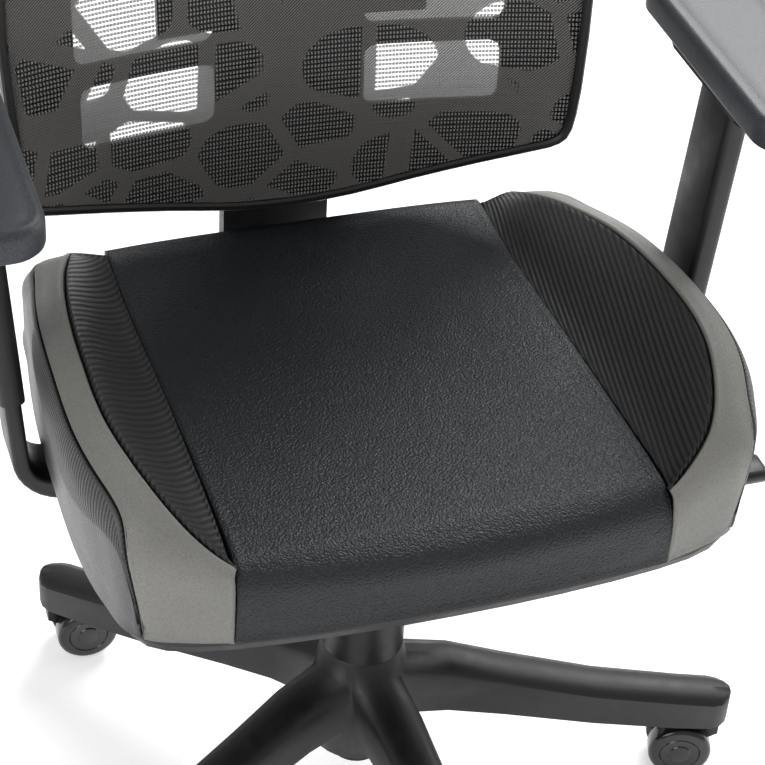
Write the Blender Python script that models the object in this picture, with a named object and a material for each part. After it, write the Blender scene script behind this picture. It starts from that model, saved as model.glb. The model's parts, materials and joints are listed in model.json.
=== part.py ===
"""Mesh-back gaming chair on a five-leg swivel base, as an assembly of separate pieces.

Units are metres and +Z is up. The origin is on the floor, on the axis of the gas column, and the
sitter faces -Y. Each piece that moves has its own origin on the axis it moves about.
"""
from math import cos, pi, radians, sin, sqrt, tan

import bmesh
import bpy
from mathutils import Matrix, Vector

# ---- clearances ---------------------------------------------------------------------------
SEATED_GAP = 0.0003          # between pieces that are fastened face to face
RUNNING_GAP = 0.0006         # between pieces that slide or turn on each other
CURVED_GAP = 0.0015          # between curved faces that are fastened together

# ---- base and casters ---------------------------------------------------------------------
LEG_COUNT = 5
FIRST_LEG_ANGLE = radians(133.0)
STEM_RADIUS = 0.335          # column axis to caster stem
LEG_TIP_HEIGHT = 0.038
LEG_HALF_WIDTH = 0.020
HUB_TOP = 0.187
HUB_BOTTOM = 0.072
GAS_TUBE_RADIUS = 0.025
HUB_WALL = 0.021             # between the gas tube's bore and the widest part of the hub
HUB_RADIUS = GAS_TUBE_RADIUS + HUB_WALL
WHEEL_RADIUS = 0.030
WHEEL_HEADROOM = 0.002       # between the top of a wheel and the leg above it
LEG_TIP_BOTTOM = 2.0 * WHEEL_RADIUS + WHEEL_HEADROOM
WHEEL_WIDTH = 0.019
WHEEL_FACETS = 24            # a multiple of four, so that one flat meets the floor
CASTER_TRAIL = 0.022
CASTER_WEB = 0.012
CASTER_NECK_RADIUS = 0.011
CASTER_STEM_RADIUS = 0.0055
AXLE_RADIUS = 0.004
CASTER_TURNS = (0.0, 20.0, 160.0, 270.0, 345.0)      # where each caster trails, degrees

# ---- gas column ---------------------------------------------------------------------------
GAS_TUBE_BOTTOM = 0.050
GAS_TUBE_TOP = 0.270
PISTON_RADIUS = 0.014
PISTON_BOTTOM = 0.115
COVER_WALL = 0.0024
COVER_STEP = 0.0008          # radial play between one cover sleeve and the next
COVER_PLAY = 0.003           # between the gas tube and the uppermost cover round it
COVER_RADIUS = GAS_TUBE_RADIUS + COVER_PLAY          # inside of the uppermost cover
COVER_SPANS = {"upper": (0.250, 0.3345), "middle": (0.220, 0.302), "lower": (0.1873, 0.268)}

# ---- tilt mechanism -----------------------------------------------------------------------
HOUSING_HALF_WIDTH = 0.060
HOUSING_FRONT = -0.105
HOUSING_REAR = 0.085
HOUSING_BOTTOM = 0.335
HOUSING_TOP = 0.375
TILT_PIN = (-0.085, 0.360)   # y, z of the front pin that the seat tips on
RECLINE_PIN = (0.060, 0.355)
PIN_RADIUS = 0.006
PIN_HALF_LENGTH = 0.084
KNOB_RADIUS = 0.024
KNOB_HEIGHT = 0.034
KNOB_Y = -0.070
LEVER_Z = 0.366
LEVER_Y = -0.060
HEIGHT_LEVER_REACH = 0.340
TILT_LEVER_REACH = 0.240      # ends under the cushion's edge
LEVER_RADIUS = 0.005

# ---- seat ---------------------------------------------------------------------------------
SHELL_BOTTOM = 0.402
SHELL_TOP = 0.4205
BOARD_THICKNESS = 0.012
CUSHION_BOTTOM = 0.4212
PLATE_THICKNESS = 0.004
SEAT_HALF_WIDTH = 0.267
SEAT_FRONT = -0.209
SEAT_REAR = 0.257
PANEL_HALF_WIDTH = 0.175     # half width of the flat middle panel
CREST_X = 0.244              # where the side bolsters are highest
PANEL_HEIGHT = 0.482
CREST_HEIGHT = 0.546
SIDE_BULGE = 0.009

# ---- arms ---------------------------------------------------------------------------------
ARM_TILT = radians(4.0)
POST_INNER_X = 0.2905        # inner face of the post at the height of the sleeve's mouth
POST_THICKNESS = 0.0140
POST_FRONT = 0.034
POST_DEPTH = 0.052
SLEEVE_WALL = 0.0030
SLEEVE_BOTTOM = 0.491
SLEEVE_TOP = 0.690
SLEEVE_ROOF = 0.006
ARM_TRAVEL_DOWN = 0.030      # how far the sleeve slides down its post from here
POST_TOP = SLEEVE_TOP - SLEEVE_ROOF - ARM_TRAVEL_DOWN - 0.003
ARM_FOOT_THICKNESS = 0.0215
ARM_FOOT_INNER_X = 0.112
ARM_BEND_RADIUS = 0.048
ARM_DROP = ARM_TRAVEL_DOWN + 0.006                   # straight post below the sleeve's mouth
BUTTON_SIZE = (0.026, 0.016)
BUTTON_PROUD = 0.003
BUTTON_SEAT = 0.0010
PAD_LENGTH = 0.262
PAD_WIDTH = 0.095
PAD_THICKNESS = 0.027
PAD_CENTRE_Y = 0.059
PAD_OFFSET = 0.015           # the pad sits this far outboard of its post
PAD_BASE_THICKNESS = 0.010

# ---- backrest -----------------------------------------------------------------------------
BACK_Y = 0.261               # front of the mesh at its foot, on the middle line
BACK_BOTTOM = 0.485
BACK_TOP = 1.110
BACK_HALF_WIDTH = 0.262
BACK_WRAP = 0.038            # how far the sides come forward
LUMBAR_BEND = 0.600
SHOULDER_BEND = 0.840
LOWER_LEAN = 0.14
UPPER_LEAN = 0.19
FRAME_WIDTH = 0.008
FRAME_FRONT = -0.004
FRAME_BACK = 0.016
MESH_THICKNESS = 0.002
SHELL_THICKNESS = 0.004
SPINE_BOTTOM = 0.474
SPINE_TOP = 1.070
SPINE_THICKNESS = 0.024
SPINE_HALF_WIDTH_FOOT = 0.062
SPINE_HALF_WIDTH_HEAD = 0.045
BAR_HALF_WIDTH = 0.050
BAR_THICKNESS = 0.016
BAR_TOP = 0.600
BAR_LEVEL = 0.378            # height of the bar's middle where it runs under the seat
BAR_BEND_RADIUS = 0.040
FORK_INNER_X = 0.0640
FORK_THICKNESS = 0.010
LUMBAR_HALF_WIDTH = 0.120
LUMBAR_CENTRE = 0.710
LUMBAR_HEIGHT = 0.090
LUMBAR_THICKNESS = 0.007

# ---- headrest -----------------------------------------------------------------------------
STALK_HALF_WIDTH = 0.018
STALK_THICKNESS = 0.006
STALK_BOTTOM = 0.965
SLOT_BOTTOM = 0.925
HEADREST_PIVOT_Z = 1.205
HEADREST_PIVOT_FORWARD = 0.030
BARREL_RADIUS = 0.009
TRUNNION_RADIUS = 0.005
HEADREST_HALF_WIDTH = 0.145
HEADREST_HEIGHT = 0.130
HEADREST_THICKNESS = 0.036
HEADREST_WRAP = 0.030

# ---- what each piece is made of: colour, roughness, metallic --------------------------------
FINISHES = {
    "nylon": ((0.030, 0.031, 0.033), 0.50, 0.0),
    "wheel": ((0.020, 0.021, 0.023), 0.38, 0.0),
    "steel": ((0.035, 0.036, 0.038), 0.42, 0.8),
    "bright_steel": ((0.55, 0.56, 0.58), 0.25, 1.0),
    "plywood": ((0.45, 0.32, 0.19), 0.70, 0.0),
    "leather": ((0.022, 0.027, 0.034), 0.42, 0.0),
    "mesh": ((0.10, 0.10, 0.10), 0.80, 0.0),
    "soft_pad": ((0.10, 0.115, 0.135), 0.60, 0.0),
}


# ---- modelling helpers ----------------------------------------------------------------------
def clear_scene():
    """Remove everything that a new file holds."""
    for item in list(bpy.data.objects):
        bpy.data.objects.remove(item, do_unlink=True)


def finish_material(finish):
    """A Principled material for one of the finishes, made once."""
    if finish in bpy.data.materials:
        return bpy.data.materials[finish]
    colour, roughness, metallic = FINISHES[finish]
    material = bpy.data.materials.new(finish)
    material.use_nodes = True
    shader = material.node_tree.nodes["Principled BSDF"]
    shader.inputs["Base Color"].default_value = (*colour, 1.0)
    shader.inputs["Roughness"].default_value = roughness
    shader.inputs["Metallic"].default_value = metallic
    return material


def as_mesh(name, shape, pivot=(0.0, 0.0, 0.0)):
    """Turn a bmesh in world metres into a mesh whose zero is at the pivot."""
    bmesh.ops.recalc_face_normals(shape, faces=shape.faces)
    bmesh.ops.translate(shape, verts=shape.verts, vec=-Vector(pivot))
    mesh = bpy.data.meshes.new(name)
    shape.to_mesh(mesh)
    shape.free()
    mesh.shade_smooth()
    mesh.set_sharp_from_angle(angle=radians(35.0))
    return mesh


def add_piece(name, shape, finish, pivot=(0.0, 0.0, 0.0)):
    """One named sub-part of the chair."""
    piece = bpy.data.objects.new(name, as_mesh(name, shape, pivot))
    piece.location = pivot
    piece.data.materials.append(finish_material(finish))
    bpy.context.scene.collection.objects.link(piece)
    return piece


def combine(piece, shape, operation):
    """Join a shape to a piece, or cut it from the piece, with an exact Boolean."""
    label = f"{piece.name}_{operation.lower()}_{len(piece.modifiers)}"
    tool = bpy.data.objects.new(label, as_mesh(label, shape, piece.location))
    tool.location = piece.location
    tool.hide_render = True
    tool.display_type = "WIRE"
    bpy.context.scene.collection.objects.link(tool)
    modifier = piece.modifiers.new(operation.title(), "BOOLEAN")
    modifier.operation = operation
    modifier.object = tool


def skin(loops, closed=False):
    """Quads between loops of equal length; the two ends are capped unless the run is closed."""
    shape = bmesh.new()
    rings = [[shape.verts.new(point) for point in loop] for loop in loops]
    pairs = list(zip(rings, rings[1:]))
    if closed:
        pairs.append((rings[-1], rings[0]))
    for low, high in pairs:
        for i in range(len(low)):
            j = (i + 1) % len(low)
            shape.faces.new((low[i], low[j], high[j], high[i]))
    if not closed:
        shape.faces.new(list(reversed(rings[0])))
        shape.faces.new(rings[-1])
    return shape


def ring(radius, z, steps, centre=(0.0, 0.0)):
    """Points of a level circle."""
    angles = [2.0 * pi * i / steps for i in range(steps)]
    return [Vector((centre[0] + radius * cos(a), centre[1] + radius * sin(a), z)) for a in angles]


def flat_ring(radius, z, steps):
    """Points of a circle drawn round a radius, with one flat square to each of X and Y."""
    angles = [2.0 * pi * (i + 0.5) / steps for i in range(steps)]
    outer = radius / cos(pi / steps)
    return [Vector((outer * cos(a), outer * sin(a), z)) for a in angles]


def turned(profile, steps=24, centre=(0.0, 0.0), tube=False):
    """A shape turned about an upright axis from (radius, z) points; a tube's profile is a loop."""
    return skin([ring(radius, z, steps, centre) for radius, z in profile], closed=tube)


def along_x(shape, centre):
    """Lay a shape that was turned about Z on its side, so that its axis runs along X."""
    bmesh.ops.rotate(shape, verts=shape.verts, cent=(0, 0, 0), matrix=Matrix.Rotation(pi / 2, 3, "Y"))
    bmesh.ops.translate(shape, verts=shape.verts, vec=Vector(centre))
    return shape


def cross_rod(radius, x_low, x_high, y, z, steps=16):
    """A straight rod along X."""
    return along_x(turned([(radius, x_low), (radius, x_high)], steps), (0.0, y, z))


def slab(outline, low, high, axis):
    """A flat outline pushed straight from low to high along an axis; outline is in the other two."""
    def place(pair, level):
        a, b = pair
        return Vector({"x": (level, a, b), "y": (a, level, b), "z": (a, b, level)}[axis])
    return skin([[place(pair, low) for pair in outline], [place(pair, high) for pair in outline]])


def block(low, high, bevel=0.0, segments=2):
    """A box between two corners with rounded edges."""
    shape = bmesh.new()
    size = Vector(high) - Vector(low)
    middle = (Vector(high) + Vector(low)) / 2.0
    bmesh.ops.create_cube(shape, size=1.0)
    bmesh.ops.scale(shape, verts=shape.verts, vec=size)
    bmesh.ops.translate(shape, verts=shape.verts, vec=middle)
    if bevel:
        bmesh.ops.bevel(shape, geom=shape.edges[:], offset=bevel, segments=segments, affect="EDGES",
                        profile=0.5)
    return shape


def rounded_rectangle(half_a, half_b, radius, corner_steps=3):
    """Outline of a rectangle with round corners, about zero."""
    points = []
    for quarter in range(4):
        sign_a = 1 if quarter in (0, 3) else -1
        sign_b = 1 if quarter in (0, 1) else -1
        for step in range(corner_steps + 1):
            angle = (quarter + step / corner_steps) * pi / 2
            points.append((sign_a * (half_a - radius) + radius * cos(angle),
                           sign_b * (half_b - radius) + radius * sin(angle)))
    return points


def arc(centre, radius, start, stop, steps):
    """Points on a circular arc, angles in degrees."""
    angles = [radians(start + (stop - start) * i / steps) for i in range(steps + 1)]
    return [(centre[0] + radius * cos(a), centre[1] + radius * sin(a)) for a in angles]


def smooth_closed(points, per_span):
    """A closed Catmull-Rom curve through flat points."""
    count = len(points)
    curve = []
    for i in range(count):
        p0, p1, p2, p3 = (Vector(points[(i + k) % count]) for k in (-1, 0, 1, 2))
        for step in range(per_span):
            t = step / per_span
            curve.append(0.5 * (2 * p1 + (p2 - p0) * t + (2 * p0 - 5 * p1 + 4 * p2 - p3) * t ** 2
                                + (3 * p1 - p0 - 3 * p2 + p3) * t ** 3))
    return curve


def mirrored(half):
    """A closed outline from its right half, whose first and last points lie on the middle line."""
    return half + [(-x, y) for x, y in reversed(half[1:-1])]


def outset(outline, distance):
    """Move each point of an anticlockwise outline outwards by a distance."""
    count = len(outline)
    moved = []
    for i, point in enumerate(outline):
        along = outline[(i + 1) % count] - outline[i - 1]
        moved.append(point + Vector((along.y, -along.x)).normalized() * distance)
    return moved


# ---- base and casters -----------------------------------------------------------------------
def leg_angles():
    return [FIRST_LEG_ANGLE - 2.0 * pi * k / LEG_COUNT for k in range(LEG_COUNT)]


def leg_shape(angle):
    """One leg: a tapering arched beam from inside the hub to just past the caster stem."""
    tip_top = LEG_TIP_BOTTOM + LEG_TIP_HEIGHT
    rise = HUB_TOP - 0.020 - tip_top
    drop = HUB_BOTTOM + 0.040 - LEG_TIP_BOTTOM
    stations = (          # share of the way out, share of the rise, share of the drop, width factor
        (0.09, 1.00, 1.00, 1.25), (0.24, 0.93, 0.96, 1.15), (0.40, 0.68, 0.74, 1.08),
        (0.66, 0.31, 0.34, 1.02), (0.90, 0.08, 0.07, 1.0), (1.00, 0.0, 0.0, 1.0))
    loops = []
    for out, up, under, width in stations:
        loops.append(leg_section(out * STEM_RADIUS, tip_top + rise * up, LEG_TIP_BOTTOM + drop * under,
                                 LEG_HALF_WIDTH * width))
    nose = LEG_HALF_WIDTH
    for step in (0.45, 0.80, 0.97):
        shrink = sqrt(1.0 - step ** 2)
        loops.append(leg_section(STEM_RADIUS + nose * step, tip_top - 0.004 * step,
                                 LEG_TIP_BOTTOM + 0.001 * step, nose * max(shrink, 0.25)))
    shape = skin(loops)
    bmesh.ops.rotate(shape, verts=shape.verts, cent=(0, 0, 0), matrix=Matrix.Rotation(angle, 3, "Z"))
    return shape


def leg_section(reach, top, bottom, half_width):
    """Cross-section of a leg at one distance out: flat below, arched above."""
    shoulder = top - 0.40 * half_width
    arch = [(half_width * cos(a), shoulder + (top - shoulder) * sin(a))
            for a in (radians(d) for d in (0, 30, 60, 90, 120, 150, 180))]
    outline = [(-half_width, bottom), (half_width, bottom)] + arch
    return [Vector((reach, across, z)) for across, z in outline]


def leg_pocket(angle, start, stop):
    """A weight-saving pocket in the underside of a leg, between two distances out."""
    wall = 0.0045
    slope = (HUB_BOTTOM + 0.040 - LEG_TIP_BOTTOM) / (0.85 * STEM_RADIUS)
    loops = []
    for reach in (start, stop):
        roof = LEG_TIP_BOTTOM + 0.020 + slope * (STEM_RADIUS - reach)
        half = LEG_HALF_WIDTH - wall
        section = [(-half, LEG_TIP_BOTTOM - 0.01), (half, LEG_TIP_BOTTOM - 0.01), (half, roof), (-half, roof)]
        loops.append([Vector((reach, across, z)) for across, z in section])
    shape = skin(loops)
    bmesh.ops.rotate(shape, verts=shape.verts, cent=(0, 0, 0), matrix=Matrix.Rotation(angle, 3, "Z"))
    return shape


def build_base():
    """The moulded star: a tall conical hub with five legs, bored for the column and the stems."""
    hub = turned([(HUB_RADIUS - 0.004, HUB_BOTTOM), (HUB_RADIUS, HUB_BOTTOM + 0.004),
                  (HUB_RADIUS + 0.004, HUB_BOTTOM + 0.060), (HUB_RADIUS - 0.004, HUB_TOP - 0.025),
                  (HUB_RADIUS - 0.009, HUB_TOP - 0.003), (HUB_RADIUS - 0.012, HUB_TOP)], 30)
    base = add_piece("base_star", hub, "nylon")
    for angle in leg_angles():
        combine(base, leg_shape(angle), "UNION")
    bore = GAS_TUBE_RADIUS + SEATED_GAP
    combine(base, turned([(bore, HUB_BOTTOM - 0.02), (bore, HUB_TOP + 0.02)], 28), "DIFFERENCE")
    socket = CASTER_STEM_RADIUS + RUNNING_GAP
    for angle in leg_angles():
        centre = (STEM_RADIUS * cos(angle), STEM_RADIUS * sin(angle))
        drilled = turned([(socket, LEG_TIP_BOTTOM - 0.01), (socket, LEG_TIP_BOTTOM + 0.027)], 16, centre)
        combine(base, drilled, "DIFFERENCE")
        for start, stop in ((0.30, 0.50), (0.53, 0.69), (0.72, 0.88)):
            combine(base, leg_pocket(angle, start * STEM_RADIUS, stop * STEM_RADIUS), "DIFFERENCE")


def caster_meshes():
    """Stem, body and wheel of one caster, about its stem axis and trailing along +X."""
    neck_low = LEG_TIP_BOTTOM - 0.0025
    stem = turned([(CASTER_STEM_RADIUS, neck_low - 0.012), (CASTER_STEM_RADIUS, LEG_TIP_BOTTOM + 0.024),
                   (CASTER_STEM_RADIUS - 0.001, LEG_TIP_BOTTOM + 0.0255)], 16)
    hub_radius = 0.012
    web_top = LEG_TIP_BOTTOM - RUNNING_GAP
    tangent = 40.0
    side = ([(-CASTER_NECK_RADIUS - 0.003, web_top), (-CASTER_NECK_RADIUS - 0.003, WHEEL_RADIUS + 0.012)]
            + arc((CASTER_TRAIL, WHEEL_RADIUS), hub_radius, 210, 360 + tangent, 8)
            + [(CASTER_NECK_RADIUS + 0.003, web_top - 0.010), (CASTER_NECK_RADIUS + 0.003, web_top)])
    body = slab(side, -CASTER_WEB / 2, CASTER_WEB / 2, "y")
    profile = [(WHEEL_RADIUS - 0.002, 0.0), (WHEEL_RADIUS, 0.002), (WHEEL_RADIUS, WHEEL_WIDTH - 0.004),
               (WHEEL_RADIUS - 0.004, WHEEL_WIDTH)]
    wheel = skin([flat_ring(radius, z, WHEEL_FACETS) for radius, z in profile])
    return {"stem": stem, "body": body, "wheel": wheel}


def build_casters():
    """Five twin-wheel casters: stem, body, axle and two wheels each."""
    axle_half = CASTER_WEB / 2 + 0.014
    wheel_start = CASTER_WEB / 2 + RUNNING_GAP
    for number, (angle, turn) in enumerate(zip(leg_angles(), CASTER_TURNS), start=1):
        heading = Matrix.Rotation(radians(turn), 4, "Z")
        foot = Vector((STEM_RADIUS * cos(angle), STEM_RADIUS * sin(angle), 0.0))
        shapes = caster_meshes()
        body = add_piece(f"caster_body_{number}", shapes["body"], "nylon")
        bore = turned([(AXLE_RADIUS + RUNNING_GAP, -0.02), (AXLE_RADIUS + RUNNING_GAP, 0.02)], 12)
        lay_along_y(bore)
        combine(body, bore, "DIFFERENCE")
        seat = CASTER_STEM_RADIUS + SEATED_GAP
        pocket = turned([(seat, LEG_TIP_BOTTOM - 0.0145 - SEATED_GAP), (seat, LEG_TIP_BOTTOM + 0.01)], 16)
        combine(body, pocket, "DIFFERENCE")
        stem = add_piece(f"caster_stem_{number}", shapes["stem"], "bright_steel")
        axle = turned([(AXLE_RADIUS, -axle_half), (AXLE_RADIUS, axle_half)], 12)
        lay_along_y(axle)
        pieces = [body, stem, add_piece(f"caster_axle_{number}", axle, "bright_steel",
                                        (CASTER_TRAIL, 0.0, WHEEL_RADIUS))]
        for letter, way in (("a", 1), ("b", -1)):
            wheel = caster_meshes()["wheel"]
            drilled = turned([(AXLE_RADIUS + SEATED_GAP, -0.01), (AXLE_RADIUS + SEATED_GAP, 0.0145)], 12)
            for shape in (wheel, drilled):
                bmesh.ops.translate(shape, verts=shape.verts, vec=(0.0, 0.0, wheel_start))
                bmesh.ops.rotate(shape, verts=shape.verts, cent=(0, 0, 0),
                                 matrix=Matrix.Rotation(-way * pi / 2, 3, "X"))
                bmesh.ops.translate(shape, verts=shape.verts, vec=(CASTER_TRAIL, 0.0, WHEEL_RADIUS))
            rolling = add_piece(f"caster_wheel_{number}_{letter}", wheel, "wheel",
                                (CASTER_TRAIL, 0.0, WHEEL_RADIUS))
            combine(rolling, drilled, "DIFFERENCE")
            pieces.append(rolling)
        place_caster(pieces, Matrix.Translation(foot) @ heading)


def lay_along_y(shape):
    """Lay a shape turned about Z along Y, through the caster's axle."""
    bmesh.ops.rotate(shape, verts=shape.verts, cent=(0, 0, 0), matrix=Matrix.Rotation(pi / 2, 3, "X"))
    bmesh.ops.translate(shape, verts=shape.verts, vec=(CASTER_TRAIL, 0.0, WHEEL_RADIUS))


def place_caster(pieces, placement):
    """Put a caster's pieces, and the shapes that cut them, under their leg."""
    cutters = [m.object for piece in pieces for m in piece.modifiers]
    for item in pieces + cutters:
        item.matrix_world = placement @ Matrix.Translation(item.location)


# ---- gas column -----------------------------------------------------------------------------
def build_column():
    """Pressure tube, piston tube and the three telescoping covers."""
    bush = PISTON_RADIUS + RUNNING_GAP
    tube = [(GAS_TUBE_RADIUS, GAS_TUBE_TOP), (GAS_TUBE_RADIUS, GAS_TUBE_BOTTOM),
            (bush, GAS_TUBE_BOTTOM), (bush, GAS_TUBE_TOP)]
    add_piece("gas_tube", turned(tube, 28, tube=True), "steel")
    piston_top = HOUSING_TOP - 0.012
    piston = turned([(PISTON_RADIUS, PISTON_BOTTOM), (PISTON_RADIUS, piston_top - 0.006),
                     (0.009, piston_top - 0.0055), (0.009, piston_top)], 20)
    add_piece("gas_piston", piston, "bright_steel", (0.0, 0.0, PISTON_BOTTOM))
    inner = COVER_RADIUS
    for name, (low, high) in COVER_SPANS.items():
        outer = inner + COVER_WALL
        sleeve = [(outer, high), (outer, low), (inner, low), (inner, high)]
        add_piece(f"column_cover_{name}", turned(sleeve, 28, tube=True), "nylon", (0.0, 0.0, low))
        inner = outer + COVER_STEP


# ---- tilt mechanism -------------------------------------------------------------------------
def build_mechanism():
    """Cast housing under the seat with its two cross pins."""
    nose = 0.018
    side = [(HOUSING_FRONT, HOUSING_BOTTOM + nose), (HOUSING_FRONT + nose, HOUSING_BOTTOM),
            (HOUSING_REAR - 0.010, HOUSING_BOTTOM), (HOUSING_REAR, HOUSING_BOTTOM + 0.010),
            (HOUSING_REAR, HOUSING_TOP - 0.003), (HOUSING_REAR - 0.003, HOUSING_TOP),
            (HOUSING_FRONT + 0.003, HOUSING_TOP), (HOUSING_FRONT, HOUSING_TOP - 0.003)]
    housing = add_piece("mechanism_housing", slab(side, -HOUSING_HALF_WIDTH, HOUSING_HALF_WIDTH, "x"),
                        "steel")
    bevel = housing.modifiers.new("Edges", "BEVEL")
    bevel.width = 0.003
    bevel.segments = 2
    bevel.limit_method = "ANGLE"
    socket = PISTON_RADIUS + SEATED_GAP
    roof = HOUSING_TOP - 0.012 + SEATED_GAP
    combine(housing, turned([(socket, HOUSING_BOTTOM - 0.01), (socket, roof)], 20), "DIFFERENCE")
    for name, (y, z) in (("tilt_pin", TILT_PIN), ("recline_pin", RECLINE_PIN)):
        bore = PIN_RADIUS + SEATED_GAP
        combine(housing, cross_rod(bore, -0.09, 0.09, y, z), "DIFFERENCE")
        pin = cross_rod(PIN_RADIUS, -PIN_HALF_LENGTH, PIN_HALF_LENGTH, y, z)
        add_piece(name, pin, "bright_steel", (0.0, y, z))
    for way in (1, -1):
        socket_low, socket_high = sorted((way * (HOUSING_HALF_WIDTH - 0.013), way * 0.09))
        bore = cross_rod(LEVER_RADIUS + 0.0045, socket_low, socket_high, LEVER_Y, LEVER_Z)
        combine(housing, bore, "DIFFERENCE")


def build_controls():
    """Tension knob under the housing's nose, and the two hand levers."""
    top = HOUSING_BOTTOM - RUNNING_GAP
    low = top - KNOB_HEIGHT
    lobes = 10
    loops = []
    for z, reach in ((low, 0.86), (low + 0.004, 1.0), (top - 0.010, 1.0), (top - 0.006, 0.72), (top, 0.60)):
        loop = []
        for i in range(lobes * 4):
            angle = 2.0 * pi * i / (lobes * 4)
            radius = KNOB_RADIUS * reach * (1.0 + 0.035 * cos(lobes * angle))
            loop.append(Vector((radius * cos(angle), KNOB_Y + radius * sin(angle), z)))
        loops.append(loop)
    add_piece("tension_knob", skin(loops), "nylon", (0.0, KNOB_Y, low))
    for name, way, reach in (("height_lever", 1, HEIGHT_LEVER_REACH), ("tilt_lever", -1, TILT_LEVER_REACH)):
        start = HOUSING_HALF_WIDTH - 0.012
        paddle_start = reach - 0.070
        rod = cross_rod(LEVER_RADIUS, *sorted((way * start, way * (paddle_start + 0.02))), LEVER_Y, LEVER_Z, 12)
        lever = add_piece(name, rod, "nylon", (way * start, LEVER_Y, LEVER_Z))
        paddle_low, paddle_high = sorted((way * paddle_start, way * reach))
        paddle = block((paddle_low, LEVER_Y - 0.015, LEVER_Z - 0.006),
                       (paddle_high, LEVER_Y + 0.015, LEVER_Z + 0.007), 0.005)
        combine(lever, paddle, "UNION")


# ---- seat -----------------------------------------------------------------------------------
def seat_outline():
    """Plan of the seat at its foot, anticlockwise from the front middle."""
    width, front, rear = SEAT_HALF_WIDTH, SEAT_FRONT, SEAT_REAR
    half = [(0.0, front), (width - 0.177, front + 0.002), (width - 0.091, front + 0.009),
            (width - 0.040, front + 0.021), (width - 0.016, front + 0.046),
            (width - 0.004, front + 0.105), (width, front + 0.185), (width - 0.001, front + 0.275),
            (width - 0.010, rear - 0.095), (width - 0.021, rear - 0.035), (width - 0.046, rear - 0.008),
            (width - 0.110, rear - 0.001), (0.0, rear)]
    return smooth_closed(mirrored(half), 2)


def seat_top(x, y):
    """Height of the upholstery: a flat middle between two side bolsters that fall away to the ends."""
    peak = -0.055
    reach_back = SEAT_REAR - 0.010 - peak
    reach_front = peak - (SEAT_FRONT + 0.014)
    if y > peak:
        crest = CREST_HEIGHT - 0.077 * ((y - peak) / reach_back) ** 2
    else:
        crest = CREST_HEIGHT - 0.054 * min((peak - y) / reach_front, 1.2) ** 4
    share = min(max((abs(x) - PANEL_HALF_WIDTH + 0.010) / (CREST_X - PANEL_HALF_WIDTH), 0.0), 1.0)
    blend = share * share * (3.0 - 2.0 * share)
    middle = PANEL_HEIGHT - 0.010 * max(min((y - SEAT_FRONT) / 0.40, 1.0), 0.0)
    return middle + (crest - middle) * blend


def build_seat():
    """Steel plate, plastic tray, plywood board and the upholstered cushion."""
    outline = seat_outline()
    tray = [(-0.012, SHELL_BOTTOM), (-0.0035, SHELL_BOTTOM + 0.005), (-0.001, SHELL_TOP - 0.006),
            (-0.001, SHELL_TOP), (-0.0055, SHELL_TOP), (-0.0055, SHELL_BOTTOM + 0.006)]
    loops = [[Vector((*p, z)) for p in outset(outline, grow)] for grow, z in tray]
    add_piece("seat_shell", skin(loops), "nylon", tilt_pivot())
    floor = SHELL_BOTTOM + 0.006 + SEATED_GAP
    edge = outset(outline, -0.0055 - SEATED_GAP - 0.0005)
    add_piece("seat_board", slab([tuple(p) for p in edge], floor, floor + BOARD_THICKNESS, "z"), "plywood",
              tilt_pivot())
    add_piece("seat_cushion", cushion_shape(outline), "leather", tilt_pivot())
    build_seat_plate()


def cushion_shape(outline):
    """The upholstery as one soft solid: near-upright sides, round shoulders and a dished top."""
    loops = [[Vector((*p, CUSHION_BOTTOM)) for p in outset(outline, -0.001)]]
    shoulder = outset(outline, -0.010)
    for grow, share in ((0.5, 0.35), (1.0, 0.72), (0.7, 0.90)):
        loop = []
        for p, s in zip(outset(outline, SIDE_BULGE * grow), shoulder):
            sideways = min(abs(p.x) / SEAT_HALF_WIDTH, 1.0) ** 4
            pulled = p.lerp(s, 0.6 * (1.0 - sideways))
            top = seat_top(s.x, s.y) - 0.006
            loop.append(Vector((pulled.x, pulled.y, CUSHION_BOTTOM + share * (top - CUSHION_BOTTOM))))
        loops.append(loop)
    for scale, sink in ((0.965, 0.006), (0.91, 0.0), (0.80, 0.0), (0.66, 0.0), (0.45, 0.0), (0.20, 0.0)):
        loop = []
        for p in outline:
            x = p.x * scale
            y = p.y * scale + (1.0 - scale) * (SEAT_FRONT + SEAT_REAR) / 2.0
            loop.append(Vector((x, y, seat_top(x, y) - sink)))
        loops.append(loop)
    return skin(loops)


def tilt_pivot():
    return (0.0, *TILT_PIN)


def build_seat_plate():
    """Pressed steel plate with two ears that hang on the front pin."""
    top = SHELL_BOTTOM - SEATED_GAP
    plate = add_piece("seat_plate", block((-0.105, -0.130, top - PLATE_THICKNESS), (0.105, 0.125, top)),
                      "steel", tilt_pivot())
    y, z = TILT_PIN
    ear_start = HOUSING_HALF_WIDTH + 0.0045
    for way in (1, -1):
        low_x, high_x = sorted((way * ear_start, way * (ear_start + PLATE_THICKNESS)))
        rounded = [(y + 0.030, top - 0.002)] + [(y + 0.013, z)] + arc((y, z), 0.013, 0, -180, 8)[1:-1]
        rounded += [(y - 0.013, z), (y - 0.030, top - 0.002)]
        combine(plate, slab(rounded, low_x, high_x, "x"), "UNION")
    bore = PIN_RADIUS + RUNNING_GAP
    combine(plate, cross_rod(bore, -0.09, 0.09, y, z), "DIFFERENCE")


# ---- arms -----------------------------------------------------------------------------------
def lean_point(along, height):
    """A point in the arm's own upright frame, leaned outwards about the sleeve's mouth."""
    rise = height - SLEEVE_BOTTOM
    return (POST_INNER_X + along * cos(ARM_TILT) + rise * sin(ARM_TILT),
            SLEEVE_BOTTOM - along * sin(ARM_TILT) + rise * cos(ARM_TILT))


def leaned(outline, low, high, way):
    """A column of section outline (across, y) standing along the leaning post."""
    loops = []
    for height in (low, high):
        loop = []
        for across, y in outline:
            x, z = lean_point(across, height)
            loop.append(Vector((way * x, y, z)))
        loops.append(loop)
    return skin(loops)


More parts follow.
